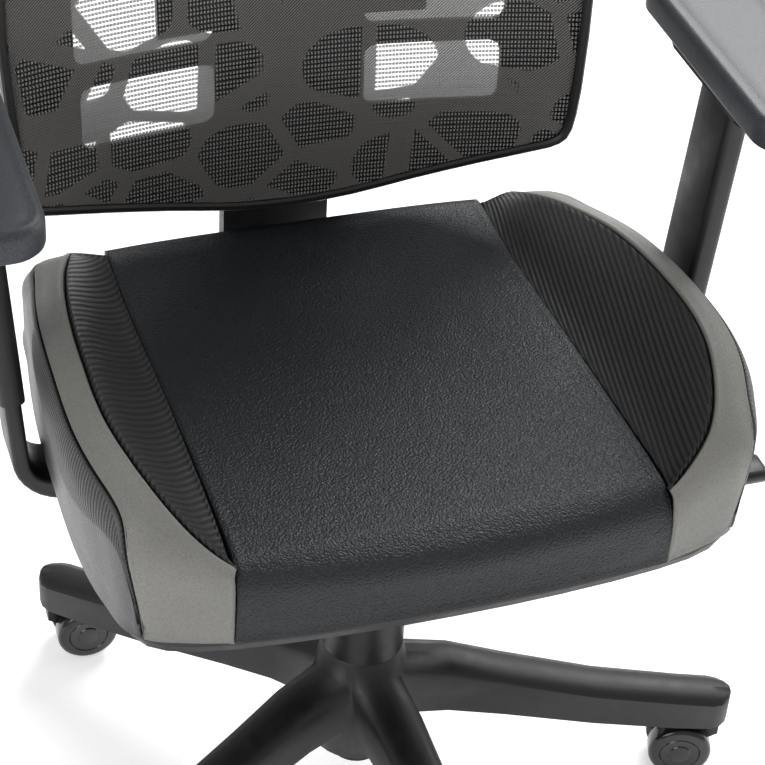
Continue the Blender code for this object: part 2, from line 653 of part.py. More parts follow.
def section(grow, radius=0.004):
    """Round-cornered cross-section of the post, made larger all round by grow."""
    half_a = POST_THICKNESS / 2 + grow
    half_b = POST_DEPTH / 2 + grow
    middle_a = POST_THICKNESS / 2
    middle_b = POST_FRONT + POST_DEPTH / 2
    return [(middle_a + a, middle_b + b) for a, b in rounded_rectangle(half_a, half_b, radius)]


def bracket_side():
    """Side view (x, z) of the L-shaped bracket: foot under the seat, round bend, leaning post."""
    foot_top = SHELL_BOTTOM - SEATED_GAP
    foot_bottom = foot_top - ARM_FOOT_THICKNESS
    post_out = lean_point(POST_THICKNESS, SLEEVE_BOTTOM - ARM_DROP)
    post_in = lean_point(0.0, SLEEVE_BOTTOM - ARM_DROP)
    outer_z = foot_bottom + ARM_BEND_RADIUS
    outer_centre = (post_out[0] - ARM_BEND_RADIUS - (post_out[1] - outer_z) * tan(ARM_TILT), outer_z)
    inner_radius = ARM_BEND_RADIUS - 0.026
    inner_z = foot_top + inner_radius
    inner_centre = (post_in[0] - inner_radius - (post_in[1] - inner_z) * tan(ARM_TILT), inner_z)
    return ([(ARM_FOOT_INNER_X, foot_top), (ARM_FOOT_INNER_X, foot_bottom)]
            + arc(outer_centre, ARM_BEND_RADIUS, -90, 0, 8)
            + [post_out, lean_point(POST_THICKNESS, POST_TOP), lean_point(0.0, POST_TOP), post_in]
            + arc(inner_centre, inner_radius, 0, -90, 8))


def arm_axis(way):
    return Vector((way * sin(ARM_TILT), 0.0, cos(ARM_TILT)))


def pad_centre_x():
    return lean_point(POST_THICKNESS / 2, SLEEVE_TOP)[0] + PAD_OFFSET


def build_arm(label, way):
    """One arm: bracket and post, height sleeve with its button, pad base and pad."""
    bracket = slab([(way * x, z) for x, z in bracket_side()], POST_FRONT, POST_FRONT + POST_DEPTH, "y")
    bracket_piece = add_piece(f"arm_bracket_{label}", bracket, "nylon", tilt_pivot())
    bevel = bracket_piece.modifiers.new("Edges", "BEVEL")
    bevel.width = 0.003
    bevel.segments = 2
    bevel.limit_method = "ANGLE"
    bevel.angle_limit = radians(60.0)

    mouth_x, mouth_z = lean_point(POST_THICKNESS / 2, SLEEVE_BOTTOM)
    pivot = (way * mouth_x, POST_FRONT + POST_DEPTH / 2, mouth_z)
    grow = RUNNING_GAP + SLEEVE_WALL
    sleeve = add_piece(f"arm_sleeve_{label}", leaned(section(grow, 0.006), SLEEVE_BOTTOM, SLEEVE_TOP, way),
                       "nylon", pivot)
    hollow = leaned(section(RUNNING_GAP), SLEEVE_BOTTOM - 0.01, SLEEVE_TOP - SLEEVE_ROOF, way)
    combine(sleeve, hollow, "DIFFERENCE")
    build_arm_button(label, way, sleeve, grow)
    build_arm_top(label, way)


def build_arm_button(label, way, sleeve, grow):
    """Height button in a pocket in the sleeve's outer wall."""
    face = POST_THICKNESS + grow
    half_y, half_z = BUTTON_SIZE[0] / 2, BUTTON_SIZE[1] / 2
    middle_y = POST_FRONT + POST_DEPTH / 2
    middle_z = SLEEVE_TOP - 0.030

    def window(extra, inner, outer):
        outline = [(inner, middle_y - half_y - extra), (outer, middle_y - half_y - extra),
                   (outer, middle_y + half_y + extra), (inner, middle_y + half_y + extra)]
        return leaned(outline, middle_z - half_z - extra, middle_z + half_z + extra, way)
    combine(sleeve, window(RUNNING_GAP, face - SLEEVE_WALL - 0.002, face + 0.01), "DIFFERENCE")
    x, z = lean_point(face, middle_z)
    button = window(0.0, face - BUTTON_SEAT, face + BUTTON_PROUD)
    add_piece(f"arm_button_{label}", button, "wheel", (way * x, middle_y, z))


def build_arm_top(label, way):
    """Turning base on top of the sleeve, and the padded top that slides on it."""
    top_x, top_z = lean_point(POST_THICKNESS / 2, SLEEVE_TOP)
    top_z = top_z + 0.0015
    post_y = POST_FRONT + POST_DEPTH / 2
    base_low = top_z + RUNNING_GAP
    base_high = base_low + PAD_BASE_THICKNESS
    middle_x = top_x + PAD_OFFSET / 2
    outline = [(way * middle_x + a, post_y + b) for a, b in rounded_rectangle(0.032, 0.075, 0.014)]
    add_piece(f"arm_pad_base_{label}", slab(outline, base_low, base_high, "z"), "nylon",
              (way * top_x, post_y, base_low))
    pad_low = base_high + RUNNING_GAP
    loops = []
    for z, inset in ((0.0, 0.004), (0.004, 0.0), (PAD_THICKNESS - 0.007, 0.0), (PAD_THICKNESS - 0.002, 0.003),
                     (PAD_THICKNESS, 0.008)):
        flat = rounded_rectangle(PAD_WIDTH / 2 - inset, PAD_LENGTH / 2 - inset, 0.030 - inset, 5)
        loops.append([Vector((way * pad_centre_x() + a, PAD_CENTRE_Y + b, pad_low + z)) for a, b in flat])
    add_piece(f"arm_pad_{label}", skin(loops), "soft_pad", (way * pad_centre_x(), PAD_CENTRE_Y, pad_low))


# ---- backrest -------------------------------------------------------------------------------
def back_depth(z):
    """Depth of the mesh's front on the middle line: upright foot, then two leaning stretches."""
    lower = max(min(z, SHOULDER_BEND) - LUMBAR_BEND, 0.0)
    upper = max(z - SHOULDER_BEND, 0.0)
    return BACK_Y + LOWER_LEAN * lower + UPPER_LEAN * upper


def back_point(x, z, behind=0.0):
    """A point on the back's curved sheet, or a set distance behind it."""
    return Vector((x, back_depth(z) - BACK_WRAP * (x / BACK_HALF_WIDTH) ** 2 + behind, z))


def back_outline():
    """Front view (x, z) of the frame's outer edge, anticlockwise from the bottom middle."""
    width, low, high = BACK_HALF_WIDTH, BACK_BOTTOM, BACK_TOP
    half = [(0.0, low), (width - 0.207, low + 0.004), (width - 0.150, low + 0.016),
            (width - 0.090, low + 0.030), (width - 0.042, low + 0.042), (width - 0.020, low + 0.050),
            (width - 0.010, low + 0.066), (width - 0.006, low + 0.110), (width, low + 0.215),
            (width - 0.004, LUMBAR_BEND + 0.180), (width - 0.014, SHOULDER_BEND + 0.060),
            (width - 0.035, high - 0.090), (width - 0.060, high - 0.032), (width - 0.110, high - 0.007),
            (0.0, high)]
    return smooth_closed(mirrored(half), 2)


def build_back():
    """Frame, stretched mesh, rear shell, spine, bar and lumbar pad."""
    outline = back_outline()
    pivot = recline_pivot()
    edge = 0.002
    ring_section = [(0.0, FRAME_FRONT + edge), (-edge, FRAME_FRONT), (-FRAME_WIDTH + edge, FRAME_FRONT),
                    (-FRAME_WIDTH, FRAME_FRONT + edge), (-FRAME_WIDTH, FRAME_BACK), (0.0, FRAME_BACK)]
    loops = [[back_point(p.x, p.y, behind) for p in outset(outline, grow)] for grow, behind in ring_section]
    add_piece("back_frame", skin(loops, closed=True), "nylon", pivot)

    inner = outset(outline, -FRAME_WIDTH - CURVED_GAP)
    add_piece("back_mesh", sheet(inner, 0.0, MESH_THICKNESS), "mesh", pivot)
    build_back_shell(outset(outline, -0.004), pivot)
    build_spine(pivot)
    build_back_bar(pivot)
    build_lumbar()


def sheet(outline, front, thickness):
    """A thin solid inside an outline, cut into strips while flat and then bent to the back's shape."""
    shape = slab([tuple(p) for p in outline], front, front + thickness, "y")
    strips = 12
    columns = [BACK_HALF_WIDTH * (2.0 * i / strips - 1.0) for i in range(1, strips)]
    cuts = [((x, 0.0, 0.0), (1.0, 0.0, 0.0)) for x in columns]
    cuts += [((0.0, 0.0, z), (0.0, 0.0, 1.0)) for z in (LUMBAR_BEND, SHOULDER_BEND)]
    for point, normal in cuts:
        everything = shape.verts[:] + shape.edges[:] + shape.faces[:]
        bmesh.ops.bisect_plane(shape, geom=everything, plane_co=point, plane_no=normal)
    for vertex in shape.verts:
        vertex.co = back_point(vertex.co.x, vertex.co.z, vertex.co.y)
    bmesh.ops.triangulate(shape, faces=shape.faces)
    return shape


def build_back_shell(outline, pivot):
    """Moulded shell behind the mesh, with see-through windows on both sides of its spine."""
    front = FRAME_BACK + CURVED_GAP
    shell = add_piece("back_shell", sheet(outline, front, SHELL_THICKNESS), "nylon", pivot)
    inner_x = SPINE_HALF_WIDTH_FOOT + 0.006
    for low, high, outer_x in shell_windows():
        for way in (1, -1):
            middle_x = way * (inner_x + outer_x) / 2.0
            half = rounded_rectangle((outer_x - inner_x) / 2.0, (high - low) / 2.0, 0.010, 3)
            flat = [(middle_x + a, (low + high) / 2.0 + b) for a, b in half]
            combine(shell, slab(flat, BACK_Y - 0.08, BACK_Y + 0.25, "y"), "DIFFERENCE")


def shell_windows():
    """Lower edge, upper edge and outer edge of each window on one side, from the bottom up."""
    rows = ((0.087, 0.145, 0.072), (0.165, 0.265, 0.069), (0.290, 0.390, 0.069), (0.415, 0.510, 0.078))
    return [(BACK_BOTTOM + low, BACK_BOTTOM + high, BACK_HALF_WIDTH - margin) for low, high, margin in rows]


def spine_front():
    return FRAME_BACK + CURVED_GAP + SHELL_THICKNESS + CURVED_GAP


def build_spine(pivot):
    """Box-section spine behind the shell, with a slot in its top for the headrest's stalk."""
    front = spine_front()
    loops = []
    for z in (SPINE_BOTTOM, LUMBAR_BEND, SHOULDER_BEND, SPINE_TOP):
        share = (z - SPINE_BOTTOM) / (SPINE_TOP - SPINE_BOTTOM)
        half = SPINE_HALF_WIDTH_FOOT + (SPINE_HALF_WIDTH_HEAD - SPINE_HALF_WIDTH_FOOT) * share
        y = back_depth(z) + front
        corner = 0.006
        loops.append([Vector((x, y + d, z)) for x, d in (
            (-half, 0.0), (half, 0.0), (half, SPINE_THICKNESS - corner), (half - corner, SPINE_THICKNESS),
            (corner - half, SPINE_THICKNESS), (-half, SPINE_THICKNESS - corner))])
    spine = add_piece("back_spine", skin(loops), "nylon", pivot)
    slot = stalk_strip(SLOT_BOTTOM, SPINE_TOP + 0.02, RUNNING_GAP)
    combine(spine, slot, "DIFFERENCE")


def stalk_depth(z):
    """Middle of the headrest stalk's thickness where it runs in the spine."""
    return back_depth(z) + spine_front() + SPINE_THICKNESS / 2.0


def stalk_strip(low, high, grow):
    """The straight, leaning strip of the stalk, or the slot for it."""
    half_x = STALK_HALF_WIDTH + grow
    half_y = STALK_THICKNESS / 2.0 + grow
    loops = []
    for z in (low, high):
        y = stalk_depth(z)
        loops.append([Vector((-half_x, y - half_y, z)), Vector((half_x, y - half_y, z)),
                      Vector((half_x, y + half_y, z)), Vector((-half_x, y + half_y, z))])
    return skin(loops)


def build_back_bar(pivot):
    """J-shaped steel bar: forked on the recline pin, along under the seat, up behind the spine."""
    y_pin, z_pin = RECLINE_PIN
    front = BACK_Y + spine_front() + SPINE_THICKNESS + SEATED_GAP
    half = BAR_THICKNESS / 2.0
    centre_y = front + half - BAR_BEND_RADIUS
    centre_z = BAR_LEVEL + BAR_BEND_RADIUS
    start = 0.120
    under = [(start, BAR_LEVEL - half)] + arc((centre_y, centre_z), BAR_BEND_RADIUS + half, -90, 0, 8)
    over = arc((centre_y, centre_z), BAR_BEND_RADIUS - half, 0, -90, 8) + [(start, BAR_LEVEL + half)]
    side = under + [(front + BAR_THICKNESS, BAR_TOP), (front, BAR_TOP)] + over
    bar = add_piece("back_bar", slab(side, -BAR_HALF_WIDTH, BAR_HALF_WIDTH, "x"), "steel", pivot)
    fork_out = FORK_INNER_X + FORK_THICKNESS
    cross = block((-fork_out, start - 0.008, BAR_LEVEL - half + 0.001),
                  (fork_out, start + 0.022, BAR_LEVEL + half - 0.001))
    combine(bar, cross, "UNION")
    for way in (1, -1):
        low_x, high_x = sorted((way * FORK_INNER_X, way * fork_out))
        arm = ([(start + 0.010, BAR_LEVEL + half - 0.002)] + arc((y_pin, z_pin), 0.013, 100, 270, 9)
               + [(start + 0.010, BAR_LEVEL - half + 0.002)])
        combine(bar, slab(arm, low_x, high_x, "x"), "UNION")
    bore = PIN_RADIUS + RUNNING_GAP
    combine(bar, cross_rod(bore, -0.09, 0.09, y_pin, z_pin), "DIFFERENCE")


def recline_pivot():
    return (0.0, *RECLINE_PIN)


def build_lumbar():
    """Curved plastic pad that slides up and down between the mesh and the shell."""
    behind = FRAME_BACK - RUNNING_GAP
    low = LUMBAR_CENTRE - LUMBAR_HEIGHT / 2.0
    high = LUMBAR_CENTRE + LUMBAR_HEIGHT / 2.0
    steps = 8
    xs = [LUMBAR_HALF_WIDTH * (2.0 * i / steps - 1.0) for i in range(steps + 1)]
    loops = []
    for z in (low, high):
        fronts = [back_point(x, z, behind - LUMBAR_THICKNESS) for x in xs]
        backs = [back_point(x, z, behind) for x in reversed(xs)]
        loops.append(fronts + backs)
    add_piece("lumbar_support", skin(loops), "nylon", (0.0, back_depth(LUMBAR_CENTRE), LUMBAR_CENTRE))


# ---- headrest -------------------------------------------------------------------------------
def headrest_pivot():
    return (0.0, stalk_depth(HEADREST_PIVOT_Z) - HEADREST_PIVOT_FORWARD, HEADREST_PIVOT_Z)


def build_headrest():
    """Stalk in the spine's slot, a shell that tips on the stalk's barrel, and a padded cushion."""
    _, pivot_y, pivot_z = headrest_pivot()
    neck = 1.130
    half = STALK_THICKNESS / 2.0
    stalk = add_piece("headrest_stalk", stalk_strip(STALK_BOTTOM, neck, 0.0), "steel",
                      (0.0, stalk_depth(STALK_BOTTOM), STALK_BOTTOM))
    base_y = stalk_depth(neck)
    curve = [(base_y - half, neck - 0.004), (base_y + half, neck - 0.004)]
    bend = [(base_y + half + 0.002, neck + 0.030), (pivot_y + 0.018, pivot_z - 0.020), (pivot_y + 0.006, pivot_z),
            (pivot_y - 0.002, pivot_z - 0.002), (pivot_y + 0.010, pivot_z - 0.027),
            (base_y - half + 0.003, neck + 0.026)]
    combine(stalk, slab(curve + bend, -STALK_HALF_WIDTH, STALK_HALF_WIDTH, "x"), "UNION")
    combine(stalk, cross_rod(BARREL_RADIUS, -STALK_HALF_WIDTH, STALK_HALF_WIDTH, pivot_y, pivot_z, 20), "UNION")
    combine(stalk, cross_rod(TRUNNION_RADIUS, -0.030, 0.030, pivot_y, pivot_z, 16), "UNION")

    shell_back = pivot_y - BARREL_RADIUS - 0.003
    shell_thickness = 0.006
    pivot = headrest_pivot()
    shell = add_piece("headrest_shell", headrest_slab(shell_back - shell_thickness, shell_back, 0.012), "nylon",
                      pivot)
    for way in (1, -1):
        low_x, high_x = sorted((way * (STALK_HALF_WIDTH + RUNNING_GAP), way * 0.0265))
        lug = ([(shell_back - 0.002, pivot_z - 0.011)] + arc((pivot_y, pivot_z), 0.010, -90, 90, 8)
               + [(shell_back - 0.002, pivot_z + 0.011)])
        combine(shell, slab(lug, low_x, high_x, "x"), "UNION")
    bore = TRUNNION_RADIUS + RUNNING_GAP
    combine(shell, cross_rod(bore, -0.031, 0.031, pivot_y, pivot_z, 16), "DIFFERENCE")
    pad_back = shell_back - shell_thickness - SEATED_GAP
    add_piece("headrest_pad", headrest_slab(pad_back - HEADREST_THICKNESS, pad_back, 0.0, 0.014), "leather",
              pivot)


def headrest_slab(front, back, inset, crown=0.0):
    """A wide block with round ends that wraps forward at its sides, with a rounded front."""
    pivot_z = HEADREST_PIVOT_Z
    flat = rounded_rectangle(HEADREST_HALF_WIDTH - inset, HEADREST_HEIGHT / 2.0 - inset, 0.034, 4)
    flat = subdivided(flat, 0.030)
    levels = [(back, 0.0), (front + crown, 0.0)]
    if crown:
        levels += [(front + 0.3 * crown, 0.008), (front, 0.020)]
    loops = []
    for y, pull in levels:
        loop = []
        for a, b in flat:
            x = a * (1.0 - pull / HEADREST_HALF_WIDTH)
            z = b * (1.0 - pull / (HEADREST_HEIGHT / 2.0))
            loop.append(Vector((x, y - HEADREST_WRAP * (x / HEADREST_HALF_WIDTH) ** 2, pivot_z + z)))
        loops.append(loop)
    return capped_with_triangles(loops)


def subdivided(outline, longest):
    """Add points to an outline so that no stretch is longer than a set length."""
    points = []
    for i, (a, b) in enumerate(outline):
        a2, b2 = outline[(i + 1) % len(outline)]
        pieces = max(1, round(sqrt((a2 - a) ** 2 + (b2 - b) ** 2) / longest))
        points += [(a + (a2 - a) * k / pieces, b + (b2 - b) * k / pieces) for k in range(pieces)]
    return points


def capped_with_triangles(loops):
    """Skin loops whose ends are curved, with each end closed by even triangles."""
    shape = skin(loops)
    caps = [face for face in shape.faces if len(face.verts) > 4]
    bmesh.ops.triangulate(shape, faces=caps, quad_method="BEAUTY", ngon_method="BEAUTY")
    return shape


def build_chair():
    clear_scene()
    build_base()
    build_casters()
    build_column()
    build_mechanism()
    build_controls()
    build_seat()
    for label, way in (("left", -1), ("right", 1)):
        build_arm(label, way)
    build_back()
    build_headrest()


build_chair()
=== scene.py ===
# %% [markdown]
# # A gaming chair, dressed for its portrait
# The engineering model already exists: sixty pieces with their real sizes and joints. This script
# loads it as a fixed frame, gives every piece a finish, and makes the parts that engineering solids
# cannot show: sewn upholstery, stretched mesh, soft arm pads, smooth wheels, screws and stitches.

# %% Load the frame
import json
from math import cos, exp, pi, radians, sin

import bmesh
import bpy
from mathutils import Matrix, Vector
from mathutils.kdtree import KDTree


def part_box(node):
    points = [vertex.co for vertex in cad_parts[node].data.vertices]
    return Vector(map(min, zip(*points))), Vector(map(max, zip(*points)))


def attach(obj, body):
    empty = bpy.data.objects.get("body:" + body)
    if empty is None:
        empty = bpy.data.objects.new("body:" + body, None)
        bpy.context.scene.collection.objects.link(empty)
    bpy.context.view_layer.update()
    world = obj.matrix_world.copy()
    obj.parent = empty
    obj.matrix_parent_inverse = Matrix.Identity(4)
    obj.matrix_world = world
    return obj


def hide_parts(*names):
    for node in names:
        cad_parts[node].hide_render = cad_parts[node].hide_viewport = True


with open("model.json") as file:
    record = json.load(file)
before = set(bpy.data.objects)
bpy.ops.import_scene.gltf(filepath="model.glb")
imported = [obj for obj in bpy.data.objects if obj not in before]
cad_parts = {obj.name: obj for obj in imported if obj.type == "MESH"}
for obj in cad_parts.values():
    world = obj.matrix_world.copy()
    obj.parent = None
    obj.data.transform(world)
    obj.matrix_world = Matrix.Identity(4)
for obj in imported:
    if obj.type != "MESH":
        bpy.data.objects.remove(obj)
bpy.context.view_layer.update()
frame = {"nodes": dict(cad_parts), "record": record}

record = frame["record"]

# %% [markdown]
# ## A small kit for materials
# A finish is a node tree round one Principled shader. Trees are easier to read when every node is
# made by one helper that also fills its sockets, so a whole finish fits in a few lines. Patterns
# read Object coordinates, which are metres here, or the piece's own UV map, also laid out in metres.

# %% Material helpers
def add_node(tree, kind, sockets=None, **settings):
    """A shader node with its settings made and its sockets filled, by value or by link."""
    made = tree.nodes.new("ShaderNode" + kind)
    for name, value in settings.items():
        setattr(made, name, value)
    for key, value in (sockets or {}).items():
        if isinstance(value, bpy.types.NodeSocket):
            tree.links.new(value, made.inputs[key])
        else:
            made.inputs[key].default_value = value
    return made


def start_finish(name, roughness, **constants):
    """An empty finish: its material, its tree and its Principled shader with constants set."""
    material = bpy.data.materials.new(name)
    material.use_nodes = True
    tree = material.node_tree
    shader = tree.nodes["Principled BSDF"]
    shader.inputs["Roughness"].default_value = roughness
    for key, value in constants.items():
        shader.inputs[key.replace("_", " ")].default_value = value
    return material, tree, shader


def place(tree, space="Object"):
    """Where a pattern is read from: metres on the object, or metres on its UV map."""
    return add_node(tree, "TexCoord").outputs[space]


def calc(tree, operation, *values):
    """One arithmetic step between numbers or sockets."""
    return add_node(tree, "Math", dict(enumerate(values)), operation=operation).outputs[0]


def noise(tree, vector, size, detail=3.0, roughness=0.5):
    """Cloudy noise whose features are about `size` metres across."""
    return add_node(tree, "TexNoise", {"Vector": vector, "Scale": 1.0 / size, "Detail": detail,
                                       "Roughness": roughness}).outputs["Fac"]


def remap(tree, value, low, high, to_low=0.0, to_high=1.0):
    """Stretch a range of values onto another, clamped at both ends."""
    sockets = {"Value": value, "From Min": low, "From Max": high, "To Min": to_low, "To Max": to_high}
    return add_node(tree, "MapRange", sockets).outputs["Result"]


def mix(tree, share, first, second):
    """Blend two colours."""
    made = add_node(tree, "Mix", {0: share, 6: first, 7: second}, data_type="RGBA")
    return made.outputs[2]


def raise_surface(tree, shader, height, depth, under=None):
    """Bump the surface by a height map, `depth` metres from lowest to highest."""
    sockets = {"Height": height, "Distance": depth, "Strength": 1.0}
    if under is not None:
        sockets["Normal"] = under
    normal = add_node(tree, "Bump", sockets).outputs["Normal"]
    tree.links.new(normal, shader.inputs["Normal"])
    return normal


def grey(level, blue=0.0):
    """A near-neutral colour from a linear level, with a little blue added."""
    return (level, level + 0.25 * blue, level + blue, 1.0)


# %% [markdown]
# ## Moulded plastics and metals
# Nylon parts leave the mould with a fine spark-eroded texture, so they are never mirror-smooth: two
# sizes of noise drive the bump and a slow cloud changes the gloss. Wheels are polished, steel parts
# are powder coated, and pins are ground bright.

# %% Plastic and metal finishes
def moulded(name, level, roughness, grain, depth, blue=0.0, **constants):
    """A moulded or coated surface: fine grain, slow change of gloss and of tone."""
    material, tree, shader = start_finish(name, roughness, **constants)
    where = place(tree)
    cloud = noise(tree, where, 0.05, 2.0)
    fine = noise(tree, where, grain, 2.0, 0.6)
    tone = mix(tree, remap(tree, cloud, 0.35, 0.65), grey(level * 0.88, blue), grey(level * 1.14, blue))
    tree.links.new(tone, shader.inputs["Base Color"])
    gloss = remap(tree, noise(tree, where, 0.012, 3.0), 0.3, 0.7, roughness - 0.05, roughness + 0.06)
    tree.links.new(gloss, shader.inputs["Roughness"])
    raise_surface(tree, shader, fine, depth)
    return material


finishes = {
    "base_nylon": moulded("textured nylon, base", 0.007, 0.42, 0.0011, 0.00007),
    "wheel_nylon": moulded("polished wheel nylon", 0.008, 0.20, 0.004, 0.00002, Coat_Weight=0.25),
    "black_steel": moulded("powder coated steel", 0.011, 0.46, 0.0008, 0.00008, Metallic=0.15),
    "bright_steel": moulded("ground steel pin", 0.55, 0.26, 0.0006, 0.00001, Metallic=1.0),
    "control_plastic": moulded("control plastic", 0.009, 0.36, 0.0009, 0.00004),
    "shell_plastic": moulded("grey-black shell plastic", 0.013, 0.44, 0.0009, 0.00006),
    "arm_plastic": moulded("arm plastic", 0.011, 0.40, 0.0009, 0.00005),
}
print("finishes", sorted(finishes))

# %% [markdown]
# The plywood board is hidden in the tray, but it still deserves its layers: stretched noise for the
# grain across the sheet.

# %% Plywood
def plywood():
    """Birch with its grain drawn out along the board."""
    material, tree, shader = start_finish("birch plywood", 0.62)
    stretched = add_node(tree, "Mapping", {"Vector": place(tree), "Scale": (1.0, 14.0, 60.0)})
    grain = noise(tree, stretched.outputs[0], 0.08, 5.0, 0.6)
    tone = mix(tree, grain, (0.30, 0.19, 0.10, 1), (0.52, 0.37, 0.21, 1))
    tree.links.new(tone, shader.inputs["Base Color"])
    raise_surface(tree, shader, grain, 0.0002)
    return material


finishes["plywood"] = plywood()

# %% [markdown]
# ## Leatherettes
# Coated leather has pebbles one or two millimetres wide, pushed up between fine creases. A
# Voronoi distance gives the pebbles, a distortion by noise keeps them from looking like tiles, and
# the creases stay duller than the tops. The colour follows the same height: painted shade darkens
# the creases and a painted highlight lightens the pebble tops. The same recipe makes the black
# middle, the grey bands and the smooth side panels, each with its own size of pebble.

# %% Leatherette finishes
def leatherette(name, dark, light, roughness, pebble, depth):
    """Pebbled leather from a dark and a light colour: painted shade in the creases, painted highlight on the
    tops.
    """
    material, tree, shader = start_finish(name, roughness)
    where = place(tree)
    drift = add_node(tree, "TexNoise", {"Vector": where, "Scale": 1.0 / (3.0 * pebble), "Detail": 2.0})
    bent = add_node(tree, "MixRGB", {0: 0.0012, 1: where, 2: drift.outputs["Color"]}, blend_type="ADD")
    cells = add_node(tree, "TexVoronoi", {"Vector": bent.outputs[0], "Scale": 1.0 / pebble,
                                          "Smoothness": 0.6}, feature="SMOOTH_F1")
    crease = cells.outputs["Distance"]
    height = calc(tree, "SUBTRACT", 1.0, remap(tree, crease, 0.25, 0.85))
    slow = noise(tree, where, 0.09, 2.0)
    # painted shade and highlight: the creases are darkened and the pebble tops lightened in colour
    share = calc(tree, "MULTIPLY", remap(tree, height, 0.0, 1.0, 0.35, 1.0),
                 remap(tree, slow, 0.3, 0.7, 0.7, 1.0))
    tree.links.new(mix(tree, share, dark, light), shader.inputs["Base Color"])
    gloss = remap(tree, height, 0.0, 1.0, roughness + 0.14, roughness - 0.03)
    tree.links.new(gloss, shader.inputs["Roughness"])
    wrinkle = noise(tree, where, 0.035, 4.0, 0.55)
    soft = raise_surface(tree, shader, wrinkle, 0.0009)
    raise_surface(tree, shader, height, depth, soft)
    return material


finishes["black_leatherette"] = leatherette(
    "black leatherette", (0.0030, 0.0042, 0.006, 1), (0.013, 0.0165, 0.022, 1), 0.40, 0.0017, 0.00055)
finishes["grey_leatherette"] = leatherette(
    "grey leatherette", (0.16, 0.158, 0.147, 1), (0.26, 0.257, 0.240, 1), 0.50, 0.0012, 0.00016)
# mid grey that is partly the side leather's own tone and partly painted sheen of the bright light on dark
# leather
side_leather_tone_and_sheen = leatherette(
    "side leatherette, tone and painted sheen", (0.060, 0.058, 0.060, 1), (0.105, 0.102, 0.104, 1), 0.38, 0.0009, 0.00008)

# %% [markdown]
# ## Ribbed carbon-look fabric
# The bolster tops are covered in a coated fabric with raised diagonal ribs. Two waves do it: a
# coarse one for the ribs and a finer one across it for the twill that shows on each rib. The cuts
# lie differently on the two sides, so each side has its own angle and pitch, and its own painted
# tone: lighter on the lit left side, darker on the right side that is in shade.

# %% Ribbed finish
def wave(tree, vector, pitch):
    """Even ridges across X of a vector, one every `pitch` metres, from 0 to 1."""
    sockets = {"Vector": vector, "Scale": 2.0 * pi / (20.0 * pitch), "Distortion": 0.0}
    return add_node(tree, "TexWave", sockets, wave_type="BANDS", bands_direction="X").outputs["Fac"]


def ribbed(name, run, pitch, level):
    """Ribs on the piece's UV map that run at an angle in degrees from its first axis; level is how light the
    copy is painted, with painted highlight on the rib tops and painted shade in the grooves.
    """
    material, tree, shader = start_finish(name, 0.40, Specular_IOR_Level=0.5)
    where = place(tree, "UV")
    turn = radians(90.0 - run)
    along = add_node(tree, "Mapping", {"Vector": where, "Rotation": (0.0, 0.0, turn)}).outputs[0]
    across = add_node(tree, "Mapping", {"Vector": where, "Rotation": (0.0, 0.0, turn + 1.1)}).outputs[0]
    rib = calc(tree, "POWER", wave(tree, along, pitch), 0.7)
    twill = wave(tree, across, pitch * 0.36)
    height = calc(tree, "ADD", rib, calc(tree, "MULTIPLY", twill, 0.30))
    # painted highlight on the rib tops and painted shade in the grooves
    tone = mix(tree, remap(tree, height, 0.1, 1.2), grey(level * 0.35, 0.001), grey(level * 1.5, 0.003))
    tree.links.new(tone, shader.inputs["Base Color"])
    tree.links.new(remap(tree, rib, 0.0, 1.0, 0.62, 0.34), shader.inputs["Roughness"])
    raise_surface(tree, shader, height, 0.0011)
    return material


# one fabric in two painted copies: the left lighter as lit, the right darker as in shade
ribs_lit_left_shaded_right = {-1: ribbed("ribbed carbon, left, painted lit", 51.0, 0.0052, 0.020),
              1: ribbed("ribbed carbon, right, painted in shade", 81.0, 0.0036, 0.010)}
finishes["carbon_leatherette"] = ribs_lit_left_shaded_right[1]

# %% [markdown]
# ## Dress the engineering pieces
# Every carried-over piece names a material slot in the record. Walking through that list gives each
# one its finish, and the soft pieces are replaced further down.

# %% Assign finishes to the frame
def paint(piece, *materials):
    """Put finishes on a piece, in the order of its slots."""
    piece.data.materials.clear()
    for material in materials:
        piece.data.materials.append(material)


for part in record["subparts"]:
    material = finishes.get(part["material_slot"])
    if material:
        paint(frame["nodes"][part["node"]], material)
for i in range(1, 6):
    for name in (f"caster_axle_{i}", f"caster_stem_{i}"):
        paint(frame["nodes"][name], finishes["bright_steel"])


# %% [markdown]
# ## Tools for sewn panels
# A seat cover is flat cuts of material sewn edge to edge over foam. Each cut is made here as a grid
# of quads between curves, held along its seams while cloth pressure puffs it up, tucked down at the
# seams, and given the thickness of a laminated cover. Curves pass through a handful of points.

# %% Curves and grids
def spline(points, share):
    """A point on a smooth curve through control points; share runs from 0 to 1."""
    spans = len(points) - 1
    at = min(max(share, 0.0), 1.0) * spans
    i = min(int(at), spans - 1)
    t = at - i
    p0, p1, p2, p3 = (Vector(points[min(max(i + k, 0), spans)]) for k in (-1, 0, 1, 2))
    return 0.5 * (2 * p1 + (p2 - p0) * t + (2 * p0 - 5 * p1 + 4 * p2 - p3) * t ** 2
                  + (3 * p1 - p0 - 3 * p2 + p3) * t ** 3)


